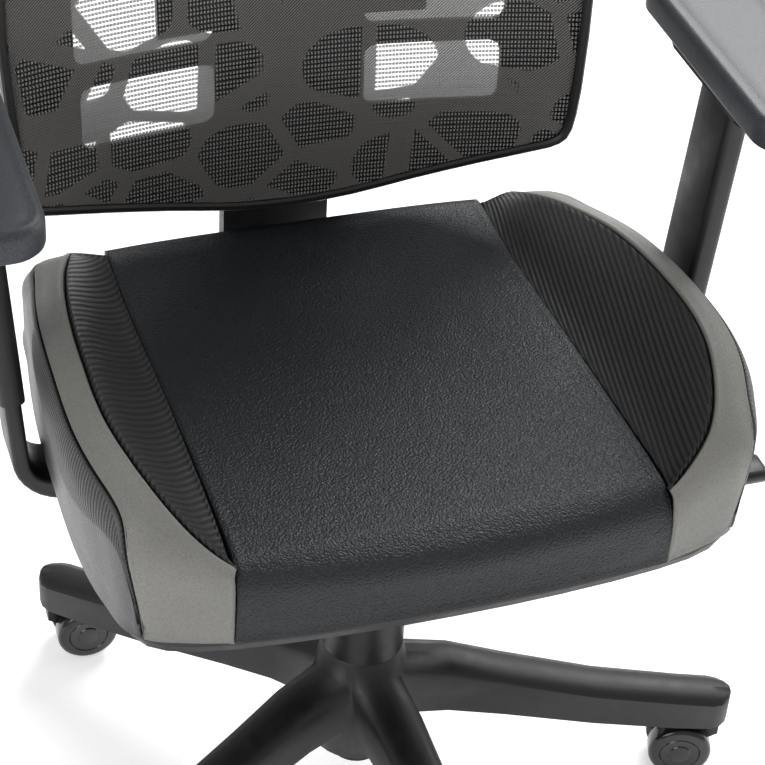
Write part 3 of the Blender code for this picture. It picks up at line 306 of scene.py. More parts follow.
def sheet_of(name, rows, turn_over=False):
    """A sheet of quads through rows of points, with a UV map in metres measured along the sheet."""
    shape = bmesh.new()
    grid = [[shape.verts.new(point) for point in row] for row in rows]
    layer = shape.loops.layers.uv.new("metres")
    flat = {}
    depth = [0.0]
    for above, below in zip(rows, rows[1:]):
        middle = len(above) // 2
        depth.append(depth[-1] + (below[middle] - above[middle]).length)
    for i, row in enumerate(rows):
        lengths = [0.0]
        for a, b in zip(row, row[1:]):
            lengths.append(lengths[-1] + (b - a).length)
        for j in range(len(row)):
            flat[grid[i][j]] = (lengths[j], depth[i])
    for i in range(len(grid) - 1):
        for j in range(len(grid[0]) - 1):
            corners = [grid[i][j], grid[i][j + 1], grid[i + 1][j + 1], grid[i + 1][j]]
            face = shape.faces.new(list(reversed(corners)) if turn_over else corners)
            face.smooth = True
            for loop in face.loops:
                loop[layer].uv = flat[loop.vert]
    bmesh.ops.remove_doubles(shape, verts=shape.verts, dist=0.00002)
    mesh = bpy.data.meshes.new(name)
    shape.to_mesh(mesh)
    shape.free()
    piece = bpy.data.objects.new(name, mesh)
    bpy.context.scene.collection.objects.link(piece)
    return piece


def select_only(piece):
    """Make one piece the active and only selected one."""
    bpy.ops.object.select_all(action="DESELECT")
    piece.select_set(True)
    bpy.context.view_layer.objects.active = piece


def apply_all(piece):
    """Apply every modifier on a piece."""
    select_only(piece)
    for modifier in list(piece.modifiers):
        bpy.ops.object.modifier_apply(modifier=modifier.name)


# %% [markdown]
# Puffing is done by cloth simulation. The open edges are pinned, air pressure lifts the rest for a
# few frames, and the rise is then scaled to a height that is known, so the result never depends on
# how far the simulation happened to go.

# %% Puff a sheet
PUFF_FRAMES = 12


def border_points(mesh):
    """The vertices on the open edges of a sheet."""
    uses = {}
    for face in mesh.polygons:
        for key in face.edge_keys:
            uses[key] = uses.get(key, 0) + 1
    return {v for key, count in uses.items() if count == 1 for v in key}


def puff(piece, rise):
    """Blow a sheet up against its seams with cloth pressure, then scale the rise to a set height."""
    rest = [v.co.copy() for v in piece.data.vertices]
    group = piece.vertex_groups.new(name="seams")
    group.add(sorted(border_points(piece.data)), 1.0, "REPLACE")
    cloth = piece.modifiers.new("Cloth", "CLOTH")
    cloth.settings.quality = 4
    cloth.settings.mass = 0.35
    cloth.settings.tension_stiffness = 12.0
    cloth.settings.bending_stiffness = 0.8
    cloth.settings.vertex_group_mass = "seams"
    cloth.settings.use_pressure = True
    cloth.settings.uniform_pressure_force = 4.0
    cloth.settings.effector_weights.gravity = 0.0
    cloth.collision_settings.use_collision = False
    cloth.point_cache.frame_start, cloth.point_cache.frame_end = 1, PUFF_FRAMES
    scene = bpy.context.scene
    for frame_number in range(1, PUFF_FRAMES + 1):
        scene.frame_set(frame_number)
    apply_all(piece)
    scene.frame_set(1)
    moved = [v.co - r for v, r in zip(piece.data.vertices, rest)]
    farthest = max(m.length for m in moved)
    scale = min(rise / farthest, 1.0) if farthest > 0 else 0.0
    for vertex, start, step in zip(piece.data.vertices, rest, moved):
        vertex.co = start + step * scale
    piece.vertex_groups.clear()
    print(f"{piece.name}: puffed {farthest * 1000:.1f} mm, kept {rise * 1000:.1f} mm")


# %% [markdown]
# A seam pulls the cover down to the foam, most at the thread and less a few millimetres away. Every
# point's distance to the nearest edge point says how far it goes down. After that the sheet gets its
# thickness, and the panel is told which body it rides on.

# %% Tuck, thicken and finish a panel
COVER_THICKNESS = 0.004
TUCK_DEPTH, TUCK_REACH = 0.0018, 0.007


def tuck(piece):
    """Pull a sheet down along its open edges, where the seam holds it to the foam."""
    mesh = piece.data
    rim = sorted(border_points(mesh))
    tree = KDTree(len(rim))
    for index in rim:
        tree.insert(mesh.vertices[index].co, index)
    tree.balance()
    normals = [v.normal.copy() for v in mesh.vertices]
    for vertex, normal in zip(mesh.vertices, normals):
        near = tree.find(vertex.co)[2]
        if near < TUCK_REACH:
            vertex.co -= normal * TUCK_DEPTH * (1.0 - near / TUCK_REACH) ** 2


def lay_map_flat(piece, place_of):
    """Replace a piece's UV map by a flat drawing of it: place_of turns a point into two lengths."""
    layer = piece.data.uv_layers["metres"].data
    for loop in piece.data.loops:
        layer[loop.index].uv = place_of(piece.data.vertices[loop.vertex_index].co)


def thicken(piece, thickness):
    """Give a sheet the thickness of its cover, inwards, with a closed rim."""
    solid = piece.modifiers.new("Thickness", "SOLIDIFY")
    solid.thickness = thickness
    solid.offset = -1.0
    solid.use_even_offset = False
    apply_all(piece)


def sewn_panel(name, rows, material, body, rise, turn_over=False):
    """One sewn panel from its rows of points to a finished, riding piece."""
    panel = sheet_of(name, rows, turn_over)
    puff(panel, rise)
    tuck(panel)
    thicken(panel, COVER_THICKNESS)
    paint(panel, material)
    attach(panel, body)
    print(name, len(panel.data.polygons), "faces")
    return panel


# %% [markdown]
# ## The seat
# The cover has a flat middle panel that runs from the rear edge down over the front, and on each
# side a bolster: a ribbed top that swells up from the middle seam to a crest, a grey band that rolls
# over the crest and round the front corner, and a smooth side panel with a lens of ribbed fabric on
# it. The seams are the drawing: three curves per side, from the rear to the front.

# %% Seam lines of the seat
SIDES = ((-1, "left"), (1, "right"))
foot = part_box("seat_cushion")[0].z + 0.0004
crest_line = [(0.206, 0.247, 0.469), (0.214, 0.215, 0.487), (0.227, 0.165, 0.507), (0.240, 0.090, 0.529),
              (0.246, 0.010, 0.542), (0.246, -0.065, 0.546), (0.236, -0.122, 0.542),
              (0.214, -0.172, 0.524), (0.178, -0.193, 0.485)]
middle_seam = [(0.1745, 0.238, 0.470), (0.1745, 0.212, 0.4675), (0.175, 0.160, 0.466), (0.175, 0.090, 0.470),
               (0.175, 0.020, 0.4765), (0.1755, -0.050, 0.481), (0.176, -0.105, 0.484),
               (0.177, -0.155, 0.486), (0.178, -0.193, 0.485)]
foot_line = [(0.190, 0.2545, foot), (0.246, 0.222, foot), (0.257, 0.162, foot), (0.265, 0.085, foot),
             (0.267, 0.005, foot), (0.266, -0.075, foot), (0.258, -0.135, foot), (0.240, -0.178, foot),
             (0.176, -0.200, foot)]
side_swell = [0.000, 0.000, 0.002, 0.005, 0.008, 0.010, 0.008, 0.005, 0.002]
swell_height = [0.60, 0.70, 0.72, 0.75, 0.78, 0.79, 0.75, 0.66, 0.50]
# The side seam: how far out it runs, where it starts to turn down, and where it meets the foot.
WELT_REST, WELT_TURN, WELT_END = 0.25, 0.70, 0.874
print("seat crest", max(p[2] for p in crest_line), "foot", round(foot, 4))


def between(values, share):
    """A smooth value between numbers spaced evenly from 0 to 1."""
    return spline([(v, 0.0, 0.0) for v in values], share).x


def widest_point(share):
    """The line where the bolster stands out farthest."""
    low = spline(foot_line, share)
    along = spline(foot_line, share + 0.01) - spline(foot_line, share - 0.01)
    outward = Vector((-along.y, along.x, 0.0)).normalized()
    crest = spline(crest_line, share)
    height = foot + between(swell_height, share) * (crest.z - foot)
    return Vector((low.x, low.y, height)) + outward * between(side_swell, share)


def outer_point(share, t):
    """A point on the bolster's outside: crest at t=0, widest line at t=0.5, foot at t=1."""
    crest, wide, low = spline(crest_line, share), widest_point(share), spline(foot_line, share)
    if t <= 0.5:
        angle = t * pi
        flat = crest.lerp(wide, sin(angle) ** 0.9)
        flat.z = wide.z + (crest.z - wide.z) * cos(angle) ** 0.9
        return flat
    down = (t - 0.5) * 2.0
    point = wide.lerp(low, down)
    bulge = wide - low
    bulge.z = 0.0
    return point + bulge * (1.0 - down) * down * 0.8


def top_point(share, t):
    """A point on the bolster's ribbed top: crest at t=0, middle seam at t=1."""
    crest, seam = spline(crest_line, share), spline(middle_seam, share)
    point = crest.lerp(seam, t)
    point.z = seam.z + (crest.z - seam.z) * (1.0 - t ** 1.8 * (2.8 - 1.8 * t)) if t < 1 else seam.z
    return point


def welt_t(share):
    """Where the grey band ends on the outside curve: near the crest, then down round the corner."""
    turn = min(max((share - WELT_TURN) / (WELT_END - WELT_TURN), 0.0), 1.0)
    return WELT_REST + (1.0 - WELT_REST) * turn ** 8


def outward_at(share, t):
    """The direction that the bolster's outside faces at a point."""
    d = 0.004
    u = outer_point(share + d, t) - outer_point(share - d, t)
    v = outer_point(share, min(t + d, 1.0)) - outer_point(share, max(t - d, 0.0))
    return v.cross(u).normalized() if v.cross(u).dot(Vector((1, 0, 1))) > 0 else u.cross(v).normalized()


def mirrored_rows(rows, side):
    """Rows of points drawn for the right side, on either side."""
    return [[Vector((side * p.x, p.y, p.z)) for p in row] for row in rows]


# %% [markdown]
# Each bolster takes three cuts between those curves. Two cuts that meet follow the same curve, so
# the seam between them closes.

# %% Bolsters: ribbed tops, grey bands, smooth sides
def steps(count, start=0.0, stop=1.0):
    """Evenly spaced numbers, both ends included."""
    return [start + (stop - start) * i / count for i in range(count + 1)]


for side, label in SIDES:
    over = side < 0
    top = [[top_point(s, t) for t in steps(20)] for s in steps(110, 0.0, 0.996)]
    ribbed_top = sewn_panel(f"bolster_top_{label}", mirrored_rows(top, side), ribs_lit_left_shaded_right[side],
                            "seat", 0.0030, not over)
    lay_map_flat(ribbed_top, lambda p: (p.x, p.y))
    band = [[outer_point(s, welt_t(s) * t) for t in steps(22)] for s in steps(120)]
    sewn_panel(f"bolster_band_{label}", mirrored_rows(band, side), finishes["grey_leatherette"],
               "seat", 0.0015, over)
    below = [[outer_point(s, welt_t(s) + (1.0 - welt_t(s)) * t) for t in steps(12)]
             for s in steps(90, 0.0, WELT_END - 0.004)]
    sewn_panel(f"bolster_side_{label}", mirrored_rows(below, side), side_leather_tone_and_sheen,
               "seat", 0.0020, over)

# %% [markdown]
# The lens of ribbed fabric is a separate cut that lies on the side panel just below the grey band.
# It is a thin skin, laid two to four millimetres outside the drawn side, because the panel under it
# has been puffed by up to two.

# %% Side inserts
# the same ribbed fabric painted much lighter: painted glints and sheen of the bright light on the ribs
insert_ribs_painted_glints = ribbed("ribbed carbon, side insert, painted glints", 20.0, 0.0038, 0.085)
INSERT_START, INSERT_STOP = 0.36, 0.871
for side, label in SIDES:
    rows = []
    for s in steps(90, INSERT_START, INSERT_STOP):
        across = sin(pi * (s - INSERT_START) / (INSERT_STOP - INSERT_START)) ** 0.7
        start = welt_t(s) + 0.012
        row = []
        for t in steps(10, start, min(start + 0.004 + 0.34 * across, 0.985)):
            row.append(outer_point(s, t) + outward_at(s, t) * (0.0024 + 0.0014 * across))
        rows.append(row)
    insert = sheet_of(f"side_insert_{label}", mirrored_rows(rows, side), side < 0)
    thicken(insert, 0.0012)
    paint(insert, insert_ribs_painted_glints)
    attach(insert, "seat")

# %% [markdown]
# The middle panel is one long cut. Its top follows the seams at its sides and stays a little higher
# in the middle; the front rolls down in a soft waterfall to the tray.

# %% Middle panel
PANEL_X = 0.1752
ROLL_START = -0.163


def seam_height(y):
    """Height of the middle seam at a distance from front to rear."""
    for (x0, y0, z0), (x1, y1, z1) in zip(middle_seam, middle_seam[1:]):
        if y1 <= y <= y0:
            return z1 + (z0 - z1) * (y - y1) / (y0 - y1)
    return middle_seam[0][2] if y > 0 else middle_seam[-1][2]


def panel_top(x, y):
    """Height of the middle panel's top, a little crowned and dropping at the rear edge."""
    share = min(abs(x) / PANEL_X, 1.0)
    middle = 0.4838 - 0.010 * min(max((y + 0.209) / 0.40, 0.0), 1.0)
    rear_drop = 0.005 * max((y - 0.222) / 0.026, 0.0) ** 2
    return middle + (seam_height(y) - middle) * share ** 4 - rear_drop


def panel_row(travel):
    """One row across the panel; travel is 0 at the rear edge, 1 where the roll starts, 2 at the foot."""
    row = []
    for across in steps(56, -1.0, 1.0):
        x = PANEL_X * across * (1.0 + 0.012 * max(travel - 0.8, 0.0))
        bow = 0.009 * across ** 2
        roll_y = ROLL_START - 0.014 * across ** 2
        if travel <= 1.0:
            y = 0.2475 + (roll_y - 0.2475) * travel
            row.append(Vector((x, y, panel_top(x, y))))
        else:
            angle = min((travel - 1.0) / 0.7, 1.0) * pi / 2
            front_y, low_z = -0.2090 + bow, 0.453
            y = roll_y + (front_y - roll_y) * sin(angle) ** 0.85
            z = low_z + (panel_top(x, roll_y) - low_z) * max(cos(angle), 0.0) ** 0.85
            if travel > 1.7:
                z = low_z + (foot - low_z) * (travel - 1.7) / 0.3
            row.append(Vector((x, y, z)))
    return row


panel_rows = [panel_row(t) for t in steps(64) + steps(26, 1.03, 2.0)]
sewn_panel("seat_panel", panel_rows, finishes["black_leatherette"], "seat", 0.0040)

# %% [markdown]
# A plain strip closes the cover at the rear, under the backrest.

# %% Rear strip
rear_rows = []
for drop in steps(12):
    row = []
    for across in steps(40, -1.0, 1.0):
        half = 0.206 + (0.190 - 0.206) * drop
        x = half * across
        z_top = 0.4690 if abs(x) > 0.17 else 0.4680
        y = 0.2475 + 0.0075 * drop + 0.004 * sin(pi * drop)
        row.append(Vector((x, y, z_top + (foot - z_top) * drop)))
    rear_rows.append(row)
rear = sewn_panel("seat_rear_strip", rear_rows, side_leather_tone_and_sheen, "seat", 0.002)
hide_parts("seat_cushion")

# %% [markdown]
# ## Stitches
# The seams are sewn with thick black thread that shows on the grey side. One stitch is a rice grain:
# a small sphere, stretched. It is modelled once and its mesh is copied along the seam, so hundreds
# of stitches cost little. A thin black cord lies in the seam along each crest and closes it.

# %% Stitches along a line
black_thread = moulded("black sewing thread", 0.006, 0.62, 0.0004, 0.00003)


def stitch_line(name, points, ups, body, length=0.0034, pitch=0.0052, width=0.0009):
    """Stitches laid end to end along a line of points, each lying flat on its surface."""
    bpy.ops.mesh.primitive_uv_sphere_add(segments=6, ring_count=4, radius=0.5)
    grain = bpy.context.object
    base = [v.co.copy() for v in grain.data.vertices]
    faces = [tuple(f.vertices) for f in grain.data.polygons]
    bpy.data.objects.remove(grain)
    vertices, polygons = [], []
    travelled, due = 0.0, 0.0
    for a, b, up in zip(points, points[1:], ups):
        step = (b - a).length
        while due <= travelled + step:
            centre = a.lerp(b, (due - travelled) / step)
            along = (b - a).normalized()
            side = along.cross(up).normalized()
            above = side.cross(along)
            start = len(vertices)
            for v in base:
                flat = side * v.x * width + above * v.y * width * 0.7
                vertices.append(centre + flat + along * v.z * length)
            polygons += [tuple(start + i for i in face) for face in faces]
            due += pitch
        travelled += step
    mesh = bpy.data.meshes.new(name)
    mesh.from_pydata(vertices, [], polygons)
    mesh.shade_smooth()
    piece = bpy.data.objects.new(name, mesh)
    bpy.context.scene.collection.objects.link(piece)
    shape = bmesh.new()
    shape.from_mesh(mesh)
    bmesh.ops.recalc_face_normals(shape, faces=shape.faces)
    shape.to_mesh(mesh)
    shape.free()
    paint(piece, black_thread)
    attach(piece, body)
    print(name, len(polygons), "faces")


# %% [markdown]
# The cord is a tube of eight sides, one ring of points per step, each ring turned square to the line.

# %% Seam cords and the seat's stitches
def seam_cord(name, points, radius, body):
    """A thin round cord along a line of points, closed at both ends, which fills a seam."""
    cord = bmesh.new()
    rings = []
    for before, here, after in zip(points[:1] + points, points, points[1:] + points[-1:]):
        turn = (after - before).to_track_quat("Z", "Y")
        rings.append([cord.verts.new(here + turn @ Vector((cos(a * pi / 4), sin(a * pi / 4), 0.0)) * radius)
                      for a in range(8)])
    for ring, following in zip(rings, rings[1:]):
        for a in range(8):
            cord.faces.new((ring[a], ring[(a + 1) % 8], following[(a + 1) % 8], following[a]))
    cord.faces.new(rings[0])
    cord.faces.new(rings[-1])
    bmesh.ops.recalc_face_normals(cord, faces=cord.faces)
    mesh = bpy.data.meshes.new(name)
    cord.to_mesh(mesh)
    cord.free()
    mesh.shade_smooth()
    piece = bpy.data.objects.new(name, mesh)
    bpy.context.scene.collection.objects.link(piece)
    paint(piece, black_thread)
    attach(piece, body)


for side, label in SIDES:
    flip = Vector((side, 1, 1))
    crest = [(spline(crest_line, s) + Vector((-0.0010, 0.0, -0.0016))) * flip
             for s in steps(160, 0.01, 0.985)]
    seam_cord(f"seam_crest_{label}", crest, 0.0016, "seat")
    line, ups = [], []
    for s in steps(220, 0.01, 0.985):
        up = outward_at(s, 0.07)
        line.append((outer_point(s, 0.060) + up * 0.0011) * flip)
        ups.append(up * flip)
    stitch_line(f"stitches_crest_{label}", line, ups, "seat")
    line, ups = [], []
    for s in steps(160, 0.02, WELT_END - 0.03):
        up = outward_at(s, welt_t(s) - 0.06)
        line.append((outer_point(s, welt_t(s) - 0.05) + up * 0.0010) * flip)
        ups.append(up * flip)
    stitch_line(f"stitches_welt_{label}", line, ups, "seat")
    line = [(outer_point(0.992, t) + Vector((0.0, -0.0006, 0.0))) * flip for t in steps(30, 0.08, 0.97)]
    stitch_line(f"stitches_front_{label}", line, [Vector((0, -1, 0.2)).normalized()] * len(line), "seat")

# %% [markdown]
# ## The stretched mesh back
# The fabric is a Jacquard knit: rows of open holes in rounded patches, and closed diagonal twill
# between them. It is stretched in the frame, so it is one curved sheet. Knitting every hole in
# geometry would take millions of faces; instead the holes are cut by the finish, from waves that
# read the sheet's own UV map in metres, and a slow cell pattern chooses between open and closed.

# %% Mesh fabric finish
def mesh_fabric():
    """The knit: rows of holes in patches, and a tighter twill between them."""
    material, tree, shader = start_finish("jacquard mesh", 0.62, Sheen_Weight=0.15)
    where = place(tree, "UV")
    lean = add_node(tree, "Mapping", {"Vector": where, "Rotation": (0, 0, radians(90.0))}).outputs[0]
    diagonal = add_node(tree, "Mapping", {"Vector": where, "Rotation": (0, 0, radians(48.0))}).outputs[0]
    columns = wave(tree, where, 0.0031)
    rows = wave(tree, lean, 0.0042)
    twill = wave(tree, diagonal, 0.0021)
    stretch = add_node(tree, "Mapping", {"Vector": where, "Scale": (1.0, 1.35, 1.0)}).outputs[0]
    cells = add_node(tree, "TexVoronoi", {"Vector": stretch, "Scale": 13.0, "Randomness": 0.70},
                     feature="DISTANCE_TO_EDGE").outputs["Distance"]
    centres = add_node(tree, "TexVoronoi", {"Vector": stretch, "Scale": 13.0, "Randomness": 0.70,
                                            "Smoothness": 0.3}, feature="SMOOTH_F1").outputs["Distance"]
    rounded = calc(tree, "SUBTRACT", 1.0, remap(tree, centres, 0.60, 0.63))
    open_patch = calc(tree, "MULTIPLY", remap(tree, cells, 0.075, 0.095), rounded)
    gap = calc(tree, "MULTIPLY", remap(tree, columns, 0.62, 0.74), 0.75)
    hole = calc(tree, "MAXIMUM", remap(tree, rows, 0.54, 0.66), gap)
    open_hole = calc(tree, "MULTIPLY", hole, open_patch)
    solid = calc(tree, "SUBTRACT", 1.0, open_hole)
    closed_hole = calc(tree, "MULTIPLY", remap(tree, twill, 0.50, 0.75), 0.62)
    closed = calc(tree, "SUBTRACT", 1.0, closed_hole)
    alpha = calc(tree, "MINIMUM", solid, closed)
    tree.links.new(alpha, shader.inputs["Alpha"])
    yarn = calc(tree, "MAXIMUM", calc(tree, "SUBTRACT", 1.0, rows), calc(tree, "SUBTRACT", 1.0, columns))
    light = mix(tree, remap(tree, twill, 0.2, 0.8), (0.200, 0.192, 0.182, 1), (0.050, 0.048, 0.045, 1))
    dark = mix(tree, remap(tree, columns, 0.1, 0.7), (0.36, 0.350, 0.335, 1), (0.026, 0.026, 0.026, 1))
    tree.links.new(mix(tree, open_patch, light, dark), shader.inputs["Base Color"])
    raise_surface(tree, shader, yarn, 0.0004)
    return material


finishes["back_fabric"] = mesh_fabric()

# %% [markdown]
# The sheet leans back in two steps and curves forward at its sides. Its outline is the inside of the
# frame, given as a few points from the foot to the head, and a grid fills it row by row.

# %% Mesh sheet
BACK_Y, BACK_WRAP, BACK_HALF = 0.261, 0.038, 0.262
LUMBAR_BEND, SHOULDER_BEND = 0.600, 0.840
LOWER_LEAN, UPPER_LEAN = 0.14, 0.19


def back_depth(z):
    """Depth of the fabric's front on the middle line at a height."""
    lower = LOWER_LEAN * max(min(z, SHOULDER_BEND) - LUMBAR_BEND, 0.0)
    return BACK_Y + lower + UPPER_LEAN * max(z - SHOULDER_BEND, 0.0)


def soft_depth(z):
    """The same line with its two bends rounded, as stretched cloth takes them."""
    reach = 0.020
    return (back_depth(z - reach) + 2.0 * back_depth(z) + back_depth(z + reach)) / 4.0


frame_line = [(0.0005, 0.4934), (0.054, 0.4973), (0.110, 0.5092), (0.170, 0.5232), (0.2175, 0.5350),
              (0.2365, 0.5420), (0.2440, 0.5545), (0.2477, 0.5955), (0.2537, 0.7000), (0.2498, 0.7790),
              (0.2400, 0.8980), (0.2193, 1.0170), (0.1960, 1.0720), (0.1490, 1.0950), (0.0005, 1.1015)]
half_widths = []
for share in steps(160):
    across, up, _ = spline([(x, z, 0.0) for x, z in frame_line], share)
    half_widths.append((up, across))


def half_width(z):
    """Half the width of the frame's opening at a height."""
    for (z0, w0), (z1, w1) in zip(half_widths, half_widths[1:]):
        if z <= z1:
            return w0 + (w1 - w0) * max(z - z0, 0.0) / (z1 - z0)
    return 0.0


back_rows = []
for share in steps(120):
    z = half_widths[0][0] + (half_widths[-1][0] - half_widths[0][0]) * (0.5 - 0.5 * cos(pi * share))
    reach = max(half_width(z), 0.0008)
    back_rows.append([Vector((reach * a, soft_depth(z) - BACK_WRAP * (reach * a / BACK_HALF) ** 2, z))
                      for a in steps(64, -1.0, 1.0)])
fabric = sheet_of("back_fabric_sheet", back_rows)
lay_map_flat(fabric, lambda p: (p.x * 1.01, p.z * 1.008))
thicken(fabric, -0.0009)
paint(fabric, finishes["back_fabric"])
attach(fabric, "backrest")
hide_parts("back_mesh")

# %% [markdown]
# ## Arm pads
# A moulded foam pad has a skin with a fine leather grain and a soft line where the top rolls into the
# sides. The skin comes first: a speckle of noise that drives both its tone and its bump.

# %% Soft skin finish
def foam_skin(name, dark, light, roughness):
    """Speckled skin on moulded foam."""
    material, tree, shader = start_finish(name, roughness, Sheen_Weight=0.12)
    where = place(tree)
    speckle = noise(tree, where, 0.0013, 2.0, 0.7)
    slow = noise(tree, where, 0.04, 2.0)
    share = calc(tree, "MULTIPLY", remap(tree, speckle, 0.38, 0.62),
                 remap(tree, slow, 0.3, 0.7, 0.75, 1.0))
    tree.links.new(mix(tree, share, dark, light), shader.inputs["Base Color"])
    raise_surface(tree, shader, speckle, 0.00022)
    return material


finishes["arm_pad_skin"] = foam_skin(
    "arm pad skin", (0.018, 0.021, 0.026, 1), (0.050, 0.058, 0.070, 1), 0.42)

# %% [markdown]
# Shaping by hand means choosing edges or faces and then bevelling or insetting them. These helpers
# choose by place or by facing, do the one operation and leave edit mode again.

# %% Edit mode helpers
def edges_where(piece, test):
    """Select in edit mode the edges whose two ends pass a test, with everything else deselected."""
    select_only(piece)
    bpy.ops.object.mode_set(mode="EDIT")
    bpy.ops.mesh.select_mode(type="EDGE")
    shape = bmesh.from_edit_mesh(piece.data)
    for face in shape.faces:
        face.select_set(False)
    for edge in shape.edges:
        edge.select_set(test(edge.verts[0].co, edge.verts[1].co))
    bmesh.update_edit_mesh(piece.data)


def faces_where(piece, test):
    """Select in edit mode the faces that pass a test, with everything else deselected."""
    select_only(piece)
    bpy.ops.object.mode_set(mode="EDIT")
    bpy.ops.mesh.select_mode(type="FACE")
    shape = bmesh.from_edit_mesh(piece.data)
    for face in shape.faces:
        face.select_set(False)
    for face in shape.faces:
        face.select_set(test(face))
    bmesh.update_edit_mesh(piece.data)


def bevel_edges(piece, test, width, segments):
    """Round the edges that pass a test."""
    edges_where(piece, test)
    bpy.ops.mesh.bevel(offset=width, segments=segments, affect="EDGES")
    bpy.ops.object.mode_set(mode="OBJECT")


def inset_faces(piece, test, insets):
    """Inset the faces that pass a test, once for each pair of a width and a height."""
    faces_where(piece, test)
    for width, height in insets:
        bpy.ops.mesh.inset(thickness=width, depth=height)
    bpy.ops.object.mode_set(mode="OBJECT")


def smooth_below(piece, degrees):
    """Shade smoothly, except at edges sharper than an angle."""
    select_only(piece)
    bpy.ops.object.shade_smooth_by_angle(angle=radians(degrees))


def settle(piece):
    """Put the piece's place into its mesh."""
    select_only(piece)
    bpy.ops.object.transform_apply(location=True, rotation=True, scale=True)


def box_between(name, low, high):
    """A box primitive that fills the space between two corners."""
    bpy.ops.object.select_all(action="DESELECT")
    bpy.ops.mesh.primitive_cube_add(size=1.0, location=(low + high) / 2.0)
    piece = bpy.context.object
    piece.name = piece.data.name = name
    piece.scale = high - low
    settle(piece)
    return piece


# %% [markdown]
# A pad starts as a box of its real size. Its upright corners get a wide bevel, its top and bottom
# edges a small one, and three insets press the soft line into the top.

# %% Arm pads
for _, label in SIDES:
    low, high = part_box(f"arm_pad_{label}")
    pad = box_between(f"arm_rest_{label}", low, high)
    top_z, bottom_z = high.z, low.z
    bevel_edges(pad, lambda a, b: abs(a.z - b.z) > 0.01, 0.029, 10)
    bevel_edges(pad, lambda a, b: min(a.z, b.z) > top_z - 0.0005, 0.0075, 5)
    bevel_edges(pad, lambda a, b: max(a.z, b.z) < bottom_z + 0.0005, 0.004, 3)
    inset_faces(pad, lambda f: f.normal.z > 0.99 and f.calc_area() > 0.004,
                ((0.0030, -0.0007), (0.0030, 0.0011), (0.012, 0.0003)))
    smooth_below(pad, 50.0)
    settle(pad)
    paint(pad, finishes["arm_pad_skin"])
    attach(pad, f"arm_top_{label}")
    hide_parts(f"arm_pad_{label}")
    print(pad.name, len(pad.data.polygons), "faces")

# %% [markdown]
# ## Headrest cushion
# The headrest is a block of foam that wraps forward at its sides. A closed loop, drawn as a
# squared-off oval, is swept from one end to the other and shrinks to nothing there. Two seams are
# pressed into its front, and each is sewn.

# %% Headrest cushion
head_low, head_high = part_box("headrest_pad")
HEAD_HALF = (head_high.x - head_low.x) / 2.0
HEAD_WRAP = 0.030
HEAD_THICK = head_high.y - head_low.y - HEAD_WRAP
HEAD_SEAM = 0.078
head_z = (head_low.z + head_high.z) / 2.0


def rounded_power(value, power):
    """A power that keeps its sign: it squares off an oval."""
    return abs(value) ** power * (1.0 if value >= 0 else -1.0)


def headrest_point(x, angle, proud=0.0):
    """A point on the headrest: x along it, angle round it, with the sewn seams pressed in."""
    u = min(abs(x) / HEAD_HALF, 1.0)
    height = (head_high.z - head_z) * (1.0 - u ** 4.5) ** (1 / 2.6)
    thick = HEAD_THICK / 2.0 * (1.0 - u ** 9) ** 0.5
    seam = 0.0035 * exp(-((abs(x) - HEAD_SEAM) / 0.004) ** 2)
    front = max(-sin(angle), 0.0) ** 0.5
    y = head_high.y - HEAD_THICK / 2.0 - HEAD_WRAP * u ** 2
    depth = (thick + proud) * rounded_power(sin(angle), 0.62) + seam * front
    return Vector((x, y + depth, head_z + (height - seam * 0.5 + proud) * rounded_power(cos(angle), 0.62)))


head_rows = []
for along in steps(90, -1.0, 1.0):
    x = HEAD_HALF * sin(along * pi / 2)
    head_rows.append([headrest_point(x, 2.0 * pi * i / 64) for i in range(65)])
headrest = sheet_of("headrest_cushion", head_rows)
fix = bmesh.new()
fix.from_mesh(headrest.data)
bmesh.ops.remove_doubles(fix, verts=fix.verts, dist=0.0001)
bmesh.ops.recalc_face_normals(fix, faces=fix.faces)
fix.to_mesh(headrest.data)
fix.free()
paint(headrest, finishes["black_leatherette"])
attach(headrest, "headrest")
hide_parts("headrest_pad")
for way, label in SIDES:
    x = way * (HEAD_SEAM - 0.0065)
    turns = [pi * (1.0 + i / 60) for i in range(61)]
    line = [headrest_point(x, t, 0.0004) for t in turns]
    stitch_line(f"stitches_headrest_{label}", line, [Vector((0, -1, 0))] * len(line), "headrest")

# %% [markdown]
# ## Caster wheels
# A wheel is a polished disc with a soft rim, a fine groove and a raised cap. It is made once, from a
# cylinder: the rim is bevelled, the outer face is inset seven times, and the mesh is copied to the
# ten places, turned so that its cap faces away from its partner.

